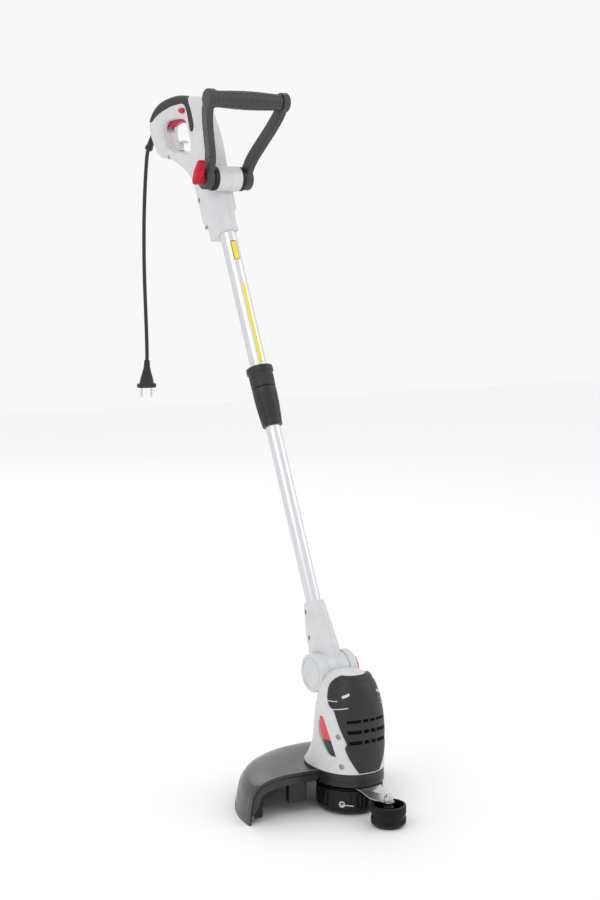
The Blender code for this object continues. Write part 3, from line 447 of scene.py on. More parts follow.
YELLOW_VINYL, RED_VINYL = vinyl("yellow_vinyl", "#efdb10"), vinyl("red_vinyl", "#d8323f")
BLACK_VINYL, GREEN_VINYL = vinyl("black_vinyl", "#1d1c20"), vinyl("green_vinyl", "#3f9a5f")
LINE, tree, shader = blank("orange_nylon_line")
turns = add(tree, "TexWave", {"Vector": turned_space(tree), "Scale": per_mm(12.0), "Distortion": 0.4}, bands_direction="Z")
relief = add(tree, "Bump", {"Height": turns.outputs["Fac"], "Distance": 0.0006})
tree.links.new(relief.outputs["Normal"], shader.inputs["Normal"])
shader.inputs["Base Color"].default_value = linear("#e8761c")
shader.inputs["Roughness"].default_value = 0.32


# The line's cut ends, worn pale and smooth
CLEAR_LINE = vinyl("pale_nylon_line", "#cfcac2")


def fit(piece, body, material, *nodes):
    """Gives a finished piece its material and its body, and hides the CAD nodes that it stands for."""
    piece.data.materials.clear()
    piece.data.materials.append(material)
    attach(piece, body)
    if nodes:
        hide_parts(*nodes)
    return piece


print("stickers and line made")

# %% [markdown]
# ## The lead
# A 7 mm two-core lead leaves the handle's back, turns down under its own weight and hangs beside the shaft. All of it
# shows, from the strain relief to the plug, so its length is read from its own curve. The route's points are the CAD
# model's, and a Catmull-Rom curve runs through them.

# %% Lead
CORD_R = 0.0035
CORD_ROUTE = np.array((
    (0.0, 0.6631, 1.0684), (0.0, 0.6658, 1.0650), (0.0, 0.6695, 1.0560), (0.0, 0.6733, 1.0370), (0.0, 0.6775, 1.0100),
    (0.0, 0.6815, 0.9750), (0.0, 0.6845, 0.9380), (0.0, 0.6860, 0.8970), (0.0, 0.6862, 0.8560), (0.0, 0.6850, 0.8150),
    (0.0, 0.6825, 0.7700), (0.0, 0.6800, 0.7250), (0.0, 0.6790, 0.6900), (0.0, 0.6795, 0.6730),
))


def open_curve(corners, count):
    """count points on a Catmull-Rom curve through the corners, evenly spaced along it."""
    p = np.vstack([2 * corners[0] - corners[1], corners, 2 * corners[-1] - corners[-2]])
    t = np.linspace(0, 1, 30, endpoint=False)[:, None, None]
    a, b, c, d = p[:-3], p[1:-2], p[2:-1], p[3:]
    fine = 0.5 * (2 * b + (c - a) * t + (2 * a - 5 * b + 4 * c - d) * t**2 + (3 * b - a - 3 * c + d) * t**3)
    fine = np.vstack([fine.transpose(1, 0, 2).reshape(-1, p.shape[1]), corners[-1:]])
    gone = np.concatenate([[0], np.cumsum(np.linalg.norm(np.diff(fine, axis=0), axis=1))])
    at = np.linspace(0, gone[-1], count)
    return np.column_stack([np.interp(at, gone, fine[:, k]) for k in range(p.shape[1])]), gone[-1]


route, cord_length = open_curve(CORD_ROUTE, 130)
cord_data = bpy.data.curves.new("lead", "CURVE")
cord_data.dimensions = "3D"
cord_data.bevel_depth = CORD_R
cord_data.bevel_resolution = 6
cord_data.use_fill_caps = True
cord_line = cord_data.splines.new("POLY")
cord_line.points.add(len(route) - 1)
cord_line.points.foreach_set("co", np.column_stack([route, np.ones(len(route))]).ravel())
lead = fit(shown("lead", cord_data), "upper", PVC, "cord")
print(f"lead: {cord_length:.3f} m of 7 mm")

# %% [markdown]
# The strain relief is a tapered rubber sleeve with rings cut into it, so that it bends with the lead. The plug is a
# flat contour plug: narrow where the lead enters, wide at its face, with a rim all round and two round pins.

# %% Strain relief and plug
RELIEF_LEAN = math.radians(44.4)
RELIEF = axes((0, 0.6251, 1.1071), ACROSS, (0, math.cos(RELIEF_LEAN), math.sin(RELIEF_LEAN)),
              (0, -math.sin(RELIEF_LEAN), math.cos(RELIEF_LEAN)))


def relief_rings(angle, height, radius):
    """Grooves 0.7 mm deep every 5 mm on the sleeve's lower half."""
    rings = np.clip(np.sin(-height / 0.005 * 2 * np.pi) * 2.0, 0, 1)
    return -0.0007 * rings * window(-height, 0.018, 0.046, 0.001) * (radius > 0.004) + 0 * angle


relief_profile = [(0, 0), (0.0066, 0), (0.0066, -0.018), *[(0.0066 - 0.0004 * k / 56, -0.018 - 0.0005 * k) for k in range(1, 57)],
                  (0.0073, -0.0490), (0.0074, -0.0536), (0.0045, -0.0536), (0.0, -0.0530)]
relief = fit(turned("lead_strain_relief", relief_profile, RELIEF, radius=0.0004, wave=relief_rings), "upper", PVC, "strain_relief")

PLUG_TILT, PLUG_TURN = math.radians(6.0), math.radians(-14.0)
plug_turning = np.array(Matrix.Rotation(PLUG_TURN, 3, "Z") @ Matrix.Rotation(PLUG_TILT, 3, "X"))
PLUG = (CORD_ROUTE[-1] + (0, 0, 0.0012), plug_turning)
plug_table = np.array((  # how far down, half width, half depth
    (0.0000, 0.0044, 0.0044), (0.0020, 0.0052, 0.0050), (0.0120, 0.0058, 0.0054), (0.0210, 0.0080, 0.0062),
    (0.0300, 0.0106, 0.0070), (0.0410, 0.0132, 0.0073), (0.0450, 0.0138, 0.0073), (0.0458, 0.0184, 0.0078),
    (0.0520, 0.0184, 0.0078), (0.0528, 0.0176, 0.0070)))
down = np.concatenate([np.linspace(0, 0.0448, 66), np.linspace(0.0450, 0.0460, 6), np.linspace(0.0469, 0.0520, 8), [0.0524, 0.0528]])
widths = np.column_stack([np.interp(down, plug_table[:, 0], plug_table[:, k]) for k in (1, 2)])
grip_lines = 0.0005 * np.clip(np.sin(down / 0.0032 * 2 * np.pi) * 3, 0, 1) * window(down, 0.012, 0.032, 0.001)
turn = np.linspace(0, 2 * np.pi, 72, endpoint=False)
plug_grid = np.stack([
    (widths[:, :1] - grip_lines[:, None]) * corner(np.cos(turn), 3.0), (widths[:, 1:] - grip_lines[:, None]) * corner(np.sin(turn), 3.0),
    -down[:, None] + 0 * turn], -1)
plug = fit(surface("contour_plug", placed(plug_grid, PLUG), around=True, ends=True), "upper", PVC, "plug_body")
for side, word in ((-1, "left"), (1, "right")):
    pin_at = (placed(np.array((side * 0.0095, 0, -0.0529)), PLUG), PLUG[1])
    sleeve = turned(f"pin_{word}", [(0, 0.0), (0.0020, 0.0), (0.0020, -0.0175), (0.0010, -0.0190), (0, -0.0193)], pin_at, 32, 0.0008)
    fit(sleeve, "upper", NICKEL, f"plug_pin_{word}")
print("strain relief, plug and two pins made")

# %% [markdown]
# ## The rear handle
# Two grey halves meet on the tool's middle plane and clamp the upper tube. Their outline is drawn once, with the
# finger opening inside it. The soft grip is the same outline, a little prouder, cut to a band over the top and down
# the front.

# %% Handle outlines
HANDLE_OUTLINE = (
    (-0.014, 1.024), (0.006, 1.037), (0.035, 1.0535), (0.069, 1.0665), (0.100, 1.0735), (0.128, 1.0715), (0.147, 1.0615),
    (0.1545, 1.045), (0.1525, 1.020), (0.147, 0.998), (0.137, 0.983), (0.118, 0.971), (0.096, 0.9545), (0.062, 0.916),
    (0.049, 0.885), (0.0475, 0.840), (0.0465, 0.805), (0.042, 0.7775), (0.030, 0.7680), (0.004, 0.7680), (-0.018, 0.7700),
    (-0.0225, 0.785), (-0.0235, 0.830), (-0.0250, 0.880), (-0.0295, 0.930), (-0.0275, 0.966), (-0.0200, 1.003),
)
HANDLE_OPENING = (
    (0.0268, 0.988), (0.0300, 1.000), (0.0450, 1.0120), (0.0700, 1.0240), (0.0920, 1.0310), (0.1062, 1.0255),
    (0.1105, 1.0080), (0.1050, 0.9890), (0.0900, 0.9735), (0.0700, 0.9615), (0.0500, 0.9480), (0.0370, 0.9415),
    (0.0285, 0.9520), (0.0262, 0.9700),
)
GRIP_BAND = (
    (0.0000, 1.0420), (-0.0005, 1.0200), (-0.0020, 1.0000), (-0.0005, 0.9780), (0.0060, 0.9685), (0.0140, 0.9730),
    (0.0125, 0.9950), (0.0118, 1.0120), (0.0180, 1.0270), (0.0400, 1.0375), (0.0652, 1.0460), (0.0950, 1.0530),
    (0.1200, 1.0555), (0.1400, 1.0560), (0.1500, 1.0800), (0.1000, 1.0950), (0.0300, 1.0750),
)
TRIGGER_ROOM = (
    (0.0180, 0.9880), (0.0180, 1.0080), (0.0400, 1.0300), (0.0750, 1.0450), (0.1030, 1.0500), (0.1120, 1.0400),
    (0.1100, 1.0200), (0.0850, 1.0120), (0.0550, 1.0020), (0.0300, 0.9880),
)
BUTTON_AT, BUTTON_HALF, BUTTON_TILT = (0.0255, 1.0180), (0.0100, 0.0048), math.radians(30.0)
outer, opening = closed_curve(HANDLE_OUTLINE, 0.004), closed_curve(HANDLE_OPENING, 0.003)
band = closed_curve(GRIP_BAND, 0.003)
print("handle outline points:", len(outer), "opening points:", len(opening))

# %% Handle halves
HANDLE_HALF = 0.018
handle = flat_piece("handle_whole", [outer, opening], 2 * HANDLE_HALF, 0.0075, SIDE)
boss_at = on_shaft(BOSS_B, BOSS_W)


def handle_barrel():
    """A tube along w that the outline is cut to: round where it clamps the tube, and roomy from the boss upwards."""
    w = np.linspace(0.760, 1.10, 120)[:, None]
    roomy = np.clip((w - 0.800) / 0.075, 0, 1) ** 1.5
    power = 2.15 + 14 * roomy
    half_x, half_b = 0.0186 + 0.001 * roomy, 0.0358 + 0.25 * roomy
    turn = np.linspace(0, 2 * np.pi, 160, endpoint=False)[None, :]
    return np.stack([0.0115 + half_b * corner(np.cos(turn), power), w + 0 * turn, half_x * corner(np.sin(turn), power)], -1)


carve(handle, surface("barrel", placed(handle_barrel(), SIDE), around=True, ends=True), "INTERSECT")
boss_profile = [(0, -BOSS_HALF), (BOSS_R, -BOSS_HALF), (BOSS_R, BOSS_HALF), (0, BOSS_HALF)]
carve(handle, turned("boss", boss_profile, pointing_x(boss_at), 96, 0.0012), "UNION")
carve(handle, turned("tube_bore", [(0, 0.740), (0.0145, 0.740), (0.0145, 0.862), (0, 0.862)], SHAFT, 96, 0.0001))
carve(handle, flat_piece("trigger_room", [TRIGGER_ROOM], 0.0152, 0.0, SIDE))
carve(handle, flat_piece("band_room", [band], 0.06, 0.0, SIDE))
SCREWS = ((0.0385, 0.8500), (0.0385, 0.7980), (0.1060, 0.9680))
for number, (b, w) in enumerate(SCREWS):
    well = [(0, -0.0030), (0.0042, -0.0030), (0.0050, 0.002), (0, 0.002)]
    carve(handle, turned(f"well_{number}", well, pointing_x(on_shaft(b, w, -HANDLE_HALF), -1), 32, 0.0003))
shells = halves(handle, ("handle_half_left", "handle_half_right"))
opening_middle = opening.mean(0)
for shell in shells:  # the cut along the seam closes the opening with a thin skin, which this takes out again
    carve(shell, flat_piece("opening_tool", [opening_middle + 0.992 * (opening - opening_middle)], 0.06, 0.0, SIDE))
for shell, word in zip(shells, ("left", "right")):
    fit(shell, "upper", GREY_ABS, f"handle_shell_{word}")
print("handle halves:", [len(shell.data.polygons) for shell in shells], "faces")

# %% [markdown]
# The grip's skin stands half a millimetre proud of the case.

# %% Soft grip
centre = outer.mean(0)
skin = flat_piece("soft_skin", [outer, opening], 2 * (HANDLE_HALF + 0.0005), 0.0078, SIDE)
grip_band = closed_curve(GRIP_BAND, 0.003)
grip_tool = flat_piece("grip_tool", [grip_band - 0.0003 * np.sign(grip_band - grip_band.mean(0))], 0.06, 0.0, SIDE)
carve(skin, grip_tool, "INTERSECT")
fit(skin, "upper", SOFT_TPE, "soft_grip")

# %% [markdown]
# The trigger is a red blade that curves under the hand. Behind the grip, the lock-off button crosses the whole
# handle. Both have softly rounded edges.

# %% Trigger, lock-off button and cord hook
TRIGGER_AT = (0.026, 1.0005)
blade = np.array((
    (-0.0035, 0.0005), (0.0100, 0.0085), (0.0380, 0.0225), (0.0620, 0.0325), (0.0750, 0.0365), (0.0805, 0.0325),
    (0.0770, 0.0265), (0.0660, 0.0220), (0.0540, 0.0200), (0.0360, 0.0150), (0.0220, 0.0060), (0.0060, -0.0055),
    (-0.0020, -0.0040)))
trigger = flat_piece("trigger_blade", [closed_curve(blade + TRIGGER_AT, 0.002)], 0.0140, 0.0030, SIDE)
fit(trigger, "trigger", RED_ACETAL, "trigger")
angle = np.linspace(0, 2 * np.pi, 48, endpoint=False)
along, up = BUTTON_HALF[0] * np.cos(angle), BUTTON_HALF[1] * np.sin(angle)
oval = np.column_stack([along * np.cos(BUTTON_TILT) - up * np.sin(BUTTON_TILT),
                        along * np.sin(BUTTON_TILT) + up * np.cos(BUTTON_TILT)]) + BUTTON_AT
button = flat_piece("lock_off", [oval], 0.0440, 0.0018, SIDE)
fit(button, "lock_off_button", RED_ACETAL, "lock_off_button")
hook_line, _ = open_curve(np.array(((0.0860, 0.9715), (0.0850, 0.9790), (0.0790, 0.9840), (0.0705, 0.9820), (0.0650, 0.9770))), 24)
around = np.linspace(0, 2 * np.pi, 24, endpoint=False)
slope = np.gradient(hook_line, axis=0)
slope /= np.linalg.norm(slope, axis=1)[:, None]
hook_grid = np.stack([
    hook_line[:, :1] + 0.0018 * np.cos(around) * slope[:, 1:], hook_line[:, 1:] - 0.0018 * np.cos(around) * slope[:, :1],
    0.0060 * np.sin(around) + 0 * hook_line[:, :1]], -1)
fit(surface("cord_hook", placed(hook_grid, SIDE), around=True, ends=True), "upper", GREY_ABS)
print("trigger, button and cord hook made")


# %% [markdown]
# Screws are pan heads with a cross recess, sunk in wells. One dome with four slots does for all of them.

# %% Screws
def screw(name, where, head=0.0036, height=0.0016):
    """A dome whose height falls with the square of the radius, with a cross pressed into its middle."""
    radius = np.linspace(0, 1, 26)[:, None]
    angle = np.linspace(0, 2 * np.pi, 64, endpoint=False)[None, :]
    x, y = radius * np.cos(angle), radius * np.sin(angle)
    cross = np.maximum(window(x, -0.16, 0.16, 0.06) * window(y, -0.62, 0.62, 0.06), window(y, -0.16, 0.16, 0.06) * window(x, -0.62, 0.62, 0.06))
    z = height * (1 - 0.45 * radius**2) - 0.0009 * cross
    top = np.stack([head * x, head * y, z], -1)
    rim = np.stack([head * np.cos(angle), head * np.sin(angle), 0 * angle - 0.0006], -1)
    return surface(name, placed(np.concatenate([top, rim]), where), around=True)


for number, (b, w) in enumerate(SCREWS):
    head = screw(f"handle_screw_head_{number + 1}", pointing_x(on_shaft(b, w, -HANDLE_HALF + 0.0026), -1))
    fit(head, "upper", STEEL, f"handle_screw_{number + 1}")
print("handle screws made:", len(SCREWS))

# %% [markdown]
# ## The tubes and the twist collar
# The upper tube slides over the lower one. The collar between them has a fixed ring on top and a tapered sleeve
# below, ribbed along its length for a wet hand.

# %% Tubes
LOWER_R, UPPER_R = 0.0125, 0.0143
low, high = [(LOWER_R - 0.0012, 0.046), (LOWER_R, 0.046), (LOWER_R, 0.600), (LOWER_R - 0.0012, 0.600)], None
fit(turned("lower_shaft_tube", low, SHAFT, 96, 0.0003, closed=True), "neck", ALUMINIUM, "lower_tube")
high = [(UPPER_R - 0.0015, 0.432), (UPPER_R, 0.432), (UPPER_R, 0.858), (UPPER_R - 0.0015, 0.858)]
fit(turned("upper_shaft_tube", high, SHAFT, 96, 0.0003, closed=True), "upper", ALUMINIUM, "upper_tube")


# %% Twist collar
def ribs(count, depth, low, high, sharpness=1.5):
    """A wave for turned(): count ribs round the piece, depth high, between two heights."""
    return lambda angle, height, radius: depth * np.clip(np.cos(angle * count) * sharpness, -1, 0) * window(height, low, high, 0.004)


def stations(points, step=0.0015):
    """The same open outline with more points on its long sides, for a wave to bend."""
    points = np.array(points, float)
    pieces = [np.linspace(p, q, max(2, int(np.linalg.norm(q - p) / step)), endpoint=False) for p, q in zip(points, points[1:])]
    return np.vstack([*pieces, points[-1:]])


sleeve_outline = fillet([(0.0146, 0.4840), (0.0202, 0.4845), (0.0207, 0.4790), (0.0200, 0.4565), (0.0180, 0.4290), (0.0168, 0.4170),
                         (0.0129, 0.4170)], 0.0012)
sleeve = turned("collar_sleeve", stations(sleeve_outline), SHAFT, 216, 0.0, wave=ribs(18, 0.0009, 0.4250, 0.4740), sharp=50)
fit(sleeve, "lock_sleeve", BLACK_NYLON, "lock_sleeve")
ring_outline = fillet([(0.0146, 0.4850), (0.0206, 0.4850), (0.0210, 0.5100), (0.0229, 0.5118), (0.0230, 0.5200), (0.0218, 0.5218),
                       (0.0146, 0.5218)], 0.0010)
ring = turned("collar_top_ring", stations(ring_outline), SHAFT, 216, 0.0, wave=ribs(36, 0.0004, 0.4880, 0.5080), sharp=50)
fit(ring, "upper", BLACK_NYLON, "collar_ring")
print("tubes and collar made")

# %% [markdown]
# Two plain yellow stickers run along the upper tube, a short one under the handle and a long one above the collar.

# %% Tube stickers
for word, low, high, half_turn, lift, finish in (
        ("short", 0.716, 0.7485, 18.0, 0.00012, YELLOW_VINYL), ("short_border", 0.715, 0.7500, 22.0, 0.00006, BLACK_VINYL),
        ("long", 0.527, 0.672, 12.0, 0.00012, YELLOW_VINYL)):
    turn_to = -96.0
    angle = np.radians(np.linspace(turn_to - half_turn, turn_to + half_turn, 16))
    height = np.linspace(low, high, 24)[:, None]
    layers = [np.stack([r * np.cos(angle) + 0 * height, r * np.sin(angle) + 0 * height, height + 0 * angle], -1)
              for r in (UPPER_R + lift, UPPER_R + 0.00002)]
    grid = np.concatenate([layers[0], layers[1][:, ::-1]], 1)
    sticker = surface(f"tube_sticker_{word}", placed(grid, SHAFT), around=True, ends=True)
    fit(sticker, "upper", finish)
print("two stickers and a border made")

# %% [markdown]
# ## The neck
# The neck clamps the lower tube and swings between the motor head's two ears on a round knuckle. Its section is an
# oval that widens downwards. A rib down its back holds the clamping screws.

# %% Neck
KNUCKLE_R, EAR_R, EAR_X = 0.0298, 0.031, (0.0214, 0.0357)
neck_table = np.array((  # w, half width, front b, back b
    (0.008, 0.0208, -0.0245, 0.0250), (0.036, 0.0208, -0.0288, 0.0325), (0.070, 0.0190, -0.0238, 0.0285),
    (0.100, 0.0172, -0.0190, 0.0195), (0.1135, 0.0160, -0.0163, 0.0160), (0.1140, 0.0148, -0.0150, 0.0148)))
w = np.concatenate([np.linspace(0.008, 0.1125, 60), [0.1132, 0.1137, 0.1140]])
half_width, front, back = np.column_stack([np.interp(w, neck_table[:, 0], neck_table[:, k]) for k in (1, 2, 3)]).T[:, :, None]
turn = np.linspace(0, 2 * np.pi, 96, endpoint=False)
neck_grid = np.stack([half_width * corner(np.cos(turn), 2.3), (back + front) / 2 + (back - front) / 2 * corner(np.sin(turn), 2.3),
                      w[:, None] + 0 * turn], -1)
neck = surface("neck_whole", placed(neck_grid, SHAFT), around=True, ends=True)
knuckle_profile = [(0, -EAR_X[0] + 0.0004), (KNUCKLE_R, -EAR_X[0] + 0.0004), (KNUCKLE_R, EAR_X[0] - 0.0004), (0, EAR_X[0] - 0.0004)]
carve(neck, turned("knuckle", knuckle_profile, pointing_x(TILT_AXIS), 96, 0.0012), "UNION")
for b, w in ((0.0060, 0.100), (0.0085, 0.058)):
    well = [(0, -0.0040), (0.0040, -0.0040), (0.0048, 0.004), (0, 0.004)]
    carve(neck, turned("neck_well", well, pointing_x(on_shaft(b, w, -0.0160 - (0.1 - w) * 0.06), -1), 32, 0.0003))
for shell, word in zip(halves(neck, ("neck_half_left", "neck_half_right")), ("left", "right")):
    fit(shell, "neck", GREY_ABS, f"neck_{word}")
for number, (b, w) in enumerate(((0.0060, 0.100), (0.0085, 0.058))):
    fit(screw(f"neck_screw_head_{number + 1}", pointing_x(on_shaft(b, w, -0.0137 - (0.1 - w) * 0.06), -1)), "neck", STEEL)
print("neck made")

# %% [markdown]
# ## The motor head
# The housing's level sections are ovals between a circle and a rectangle. Their half width, front and back change
# smoothly with height, so the skin is one function of height and angle. It closes in a dome, and two round ears
# stand behind it for the neck.

# %% Housing surface
HEAD_TABLE = np.array((  # height, half width, front, back
    (0.0687, 0.0560, -0.0560, 0.0880), (0.0820, 0.0550, -0.0560, 0.0765), (0.1050, 0.0535, -0.0550, 0.0640),
    (0.1400, 0.0510, -0.0525, 0.0595), (0.1680, 0.0480, -0.0485, 0.0570), (0.1920, 0.0420, -0.0420, 0.0515),
    (0.2080, 0.0355, -0.0335, 0.0430), (0.2180, 0.0265, -0.0240, 0.0310), (0.2222, 0.0140, -0.0100, 0.0160)))


def head_skin(height, angle):
    """The housing's point at a height and an angle: an oval of power 2.25 with that height's width, front and back."""
    size = through(HEAD_TABLE[:, 0], HEAD_TABLE[:, 1:], height)[:, :, None]
    x = size[:, 0] * corner(np.cos(angle), 2.25)
    y = (size[:, 1] + size[:, 2]) / 2 + (size[:, 2] - size[:, 1]) / 2 * corner(np.sin(angle), 2.25)
    return np.stack([x, y, height[:, None] + 0 * x], -1)


def outward(grid, centre=(0.0, 0.003)):
    """Unit normals of a grid: the cross product of its two slopes, turned away from the head's axis."""
    across, up = np.gradient(grid, axis=1), np.gradient(grid, axis=0)
    normal = np.cross(across, up)
    normal /= np.linalg.norm(normal, axis=-1, keepdims=True) + 1e-12
    facing = (normal[..., :2] * (grid[..., :2] - centre)).sum(-1, keepdims=True) + 0.02 * normal[..., 2:]
    return normal * np.where(facing < 0, -1, 1)


levels = np.concatenate([np.linspace(0.0687, 0.2080, 70), np.linspace(0.2085, 0.2222, 24)])
head_grid = head_skin(levels, np.linspace(0, 2 * np.pi, 144, endpoint=False)[None, :])
housing = surface("housing_whole", head_grid, around=True, ends=True)
for side in (-1, 1):
    low, high = sorted((side * (EAR_X[0] - 0.001), side * EAR_X[1]))
    carve(housing, turned("ear", [(0, low), (EAR_R, low), (EAR_R, high), (0, high)], pointing_x(TILT_AXIS), 96, 0.0022), "UNION")
room = [(0, -EAR_X[0]), (KNUCKLE_R + 0.003, -EAR_X[0]), (KNUCKLE_R + 0.003, EAR_X[0]), (0, EAR_X[0])]
carve(housing, turned("knuckle_room", room, pointing_x(TILT_AXIS), 96, 0.0002))
carve(housing, turned("button_room", [(0, 0.0204), (0.0118, 0.0204), (0.0118, 0.05), (0, 0.05)], pointing_x(TILT_AXIS), 64, 0.0001))
carve(housing, turned("button_recess", [(0, 0.0300), (0.0247, 0.0300), (0.0247, 0.05), (0, 0.05)], pointing_x(TILT_AXIS), 96, 0.0001))
groove = [(0.0232, -0.0349), (0.0242, -0.0349), (0.0242, -0.05), (0.0232, -0.05)]
carve(housing, turned("ear_groove", groove, pointing_x(TILT_AXIS), 96, 0.0001, closed=True))
HOUSING_SCREWS = ((0.1280, 55.0), (0.0810, 46.0))


def on_head(height, turn_left, proud):
    """A frame on the housing, its third axis outwards: turn_left is the angle from the front towards -X."""
    angle = math.radians(-90.0 - turn_left)
    patch = head_skin(np.array([height - 0.001, height, height + 0.001]), np.array([[angle + 0.01, angle, angle - 0.01]]))
    z = outward(patch)[1, 1]
    x = np.cross((0, 0, 1), z)
    x /= np.linalg.norm(x)
    return axes(patch[1, 1] + proud * z, x, np.cross(z, x), z)


for number, (height, turn_left) in enumerate(HOUSING_SCREWS):
    well = [(0, -0.0030), (0.0042, -0.0030), (0.0050, 0.002), (0, 0.002)]
    carve(housing, turned(f"housing_well_{number}", well, on_head(height, turn_left, 0.0), 32, 0.0003))
for shell, word in zip(halves(housing, ("housing_half_left", "housing_half_right")), ("left", "right")):
    fit(shell, "motor_head", GREY_ABS, f"motor_housing_{word}")
for number, (height, turn_left) in enumerate(HOUSING_SCREWS):
    fit(screw(f"housing_screw_head_{number + 1}", on_head(height, turn_left, -0.0026)), "motor_head", STEEL, f"housing_screw_{number + 1}")
print("housing made")

# %% [markdown]
# The black cover is a second skin over the housing's front, three millimetres thick with a rolled edge. Two ridges
# run down it, and rows of cooling slots are pressed into it between and beside them. It is the housing's own surface,
# moved outwards by a height that each feature adds to or takes from.

# %% Front cover
COVER_EDGE = np.array((  # height, half angle of the cover in radians
    (0.0705, 0.29), (0.0800, 0.42), (0.0950, 0.60), (0.1050, 0.69), (0.1110, 0.735), (0.1180, 0.68), (0.1300, 0.80),
    (0.1400, 0.90), (0.1550, 1.02), (0.1680, 1.13), (0.1740, 1.34), (0.1850, 1.46), (0.1980, 1.50), (0.2090, 1.46),
    (0.2150, 1.30), (0.2185, 1.05)))
height = np.linspace(0.0705, 0.2185, 340)
across = np.linspace(-1, 1, 260)[None, :]
edge = np.interp(height, COVER_EDGE[:, 0], COVER_EDGE[:, 1])
edge = np.convolve(np.pad(edge, 6, "edge"), np.hanning(15)[1:-1] / np.hanning(15)[1:-1].sum(), "valid")[:, None]
base = head_skin(height, -np.pi / 2 + edge * across)
normals = outward(base)
x, z = base[..., 0], base[..., 2]
rim = np.minimum(np.minimum((1 - np.abs(across)) * edge * 0.048, z - 0.0705), (0.2185 - z) * 1.6)
rolled = np.sqrt(np.clip(1 - (1 - np.clip(rim / 0.0018, 0, 1)) ** 2, 0, 1))


def vent_rows():
    """1 in the three rows of vents: each row is four slots, which thin posts part at x = 0.004 and 0.0125."""
    found = 0 * x
    for slot_z, lift in ((0.1200, 0.0030), (0.1365, 0.0030), (0.1530, 0.0024)):
        level = slot_z + 0.0006 * np.cos(np.abs(x) / 0.035 * np.pi)
        rows = window(z, level - lift, level + lift, 0.0007)
        for low, high in ((0.0015, 0.0105), (0.0132, 0.0335)):
            found = np.maximum(found, rows * window(np.abs(x), low, high, 0.0007))
    return found


side_x = np.abs(x)
centre_panel = window(side_x, -0.0200, 0.0122, 0.0008) * window(z, 0.074, 0.2040, 0.0030)
top_facet = window(z, 0.2052, 0.2300, 0.0020) * window(side_x, -0.1, 0.0400, 0.0030)
bulges = window(side_x, 0.0110, 0.0370, 0.0030) * np.maximum.reduce([window(z, c - 0.0052, c + 0.0052, 0.0030) for c in (0.1283, 0.1448, 0.1600)])
lower_step = window(z, 0.0600, 0.1130, 0.0020)
lines = window(side_x, 0.0290, 0.0465, 0.0008) * (
    window(z + 0.28 * (side_x - 0.0310), 0.1722, 0.1744, 0.0008) + window(z + 0.28 * (side_x - 0.0380), 0.1816, 0.1836, 0.0008) * (side_x > 0.0385))
lozenge = window(side_x, 0.0232, 0.0352, 0.0030) * window(z + 0.55 * (side_x - 0.0295), 0.1885, 0.1935, 0.0014)
vents = vent_rows() * (rim > 0.0022)
proud = (0.0006 + 0.0019 * rolled + 0.0006 * centre_panel * rolled - 0.0004 * top_facet + 0.0004 * bulges * rolled
         - 0.0003 * lower_step * rolled + 0.0008 * lines * rolled - 0.0009 * lozenge * rolled)
proud = proud * (1 - vents) + 0.0005 * vents
outer_skin, inner_skin = base + normals * proud[..., None], base + normals * 0.0003
cover_grid = np.concatenate([outer_skin, inner_skin[:, np.linspace(259, 0, 18).astype(int)]], 1)
cover = surface("vented_cover", cover_grid, around=True, ends=True, sharp=60)
fit(cover, "motor_head", BLACK_NYLON, "front_cover")
# Painted shade: a near-black sheet just under the vents' floors stands for the unlit motor room behind the slots
shade_rows = (height > 0.1155) & (height < 0.1565)
shade_columns = np.abs(across[0]) < 0.86
shade_skin = [(base + normals * lift)[shade_rows][:, shade_columns] for lift in (0.0008, 0.0004)]
shade = surface("painted_shade_behind_vents", np.concatenate([shade_skin[0], shade_skin[1][:, ::-1]], 1), around=True, ends=True)
fit(shade, "motor_head", VENT_SHADE)
print("cover faces:", len(cover.data.polygons))

# %% [markdown]
# Painted highlights: two thin light-grey lines and a lozenge on the cover's upper corner on each side stand for glints
# on its raised ridges and recess. Each set is a second copy of the cover's skin, a little proud where the marks are and
# sunk below the skin everywhere else.

# %% Painted highlights on the cover
# Painted highlight: where the marks are, pale grey strips stand for glints on the ridges and the recess
highlight_marks = np.clip(lines + lozenge, 0, 1)
highlight_lift = proud + 0.0004 - 0.0007 * (1 - highlight_marks)
highlight_rows = (height > 0.1620) & (height < 0.1990)
for word, columns in (("left", across[0] < -0.25), ("right", across[0] > 0.25)):
    skins = [(base + normals * lift[..., None])[highlight_rows][:, columns] for lift in (highlight_lift, highlight_lift - 0.0004)]
    highlight_strip = surface(f"cover_painted_highlight_{word}", np.concatenate([skins[0], skins[1][:, ::-1]], 1), around=True, ends=True, sharp=60)
    fit(highlight_strip, "motor_head", GREY_ABS)
print("light inlays made")

# %% [markdown]
# A plain striped sticker sits on each side of the housing, beside the cover: a red field over a black one, with a
# thin green line behind them. It is a patch of the housing's skin, a tenth of a millimetre proud.

# %% Side stickers
def patch(name, material, low, high, front_edge, back_edge, side):
    """The skin between two heights and between two edges, which are angles from the front that change with height."""
    height = np.linspace(low, high, 30)
    t = np.linspace(0, 1, 30)[None, :]
    first = np.interp(height, *front_edge)[:, None]
    last = np.interp(height, *back_edge)[:, None]
    angle = np.radians(-90.0 - side * (first + (last - first) * t))
    skin = head_skin(height, angle)
    normal = outward(skin)
    grid = np.concatenate([skin + normal * 0.00016, (skin + normal * 0.00001)[:, ::-1]], 1)
    piece = fit(surface(name, grid, around=True, ends=True), "motor_head", material)
    return piece


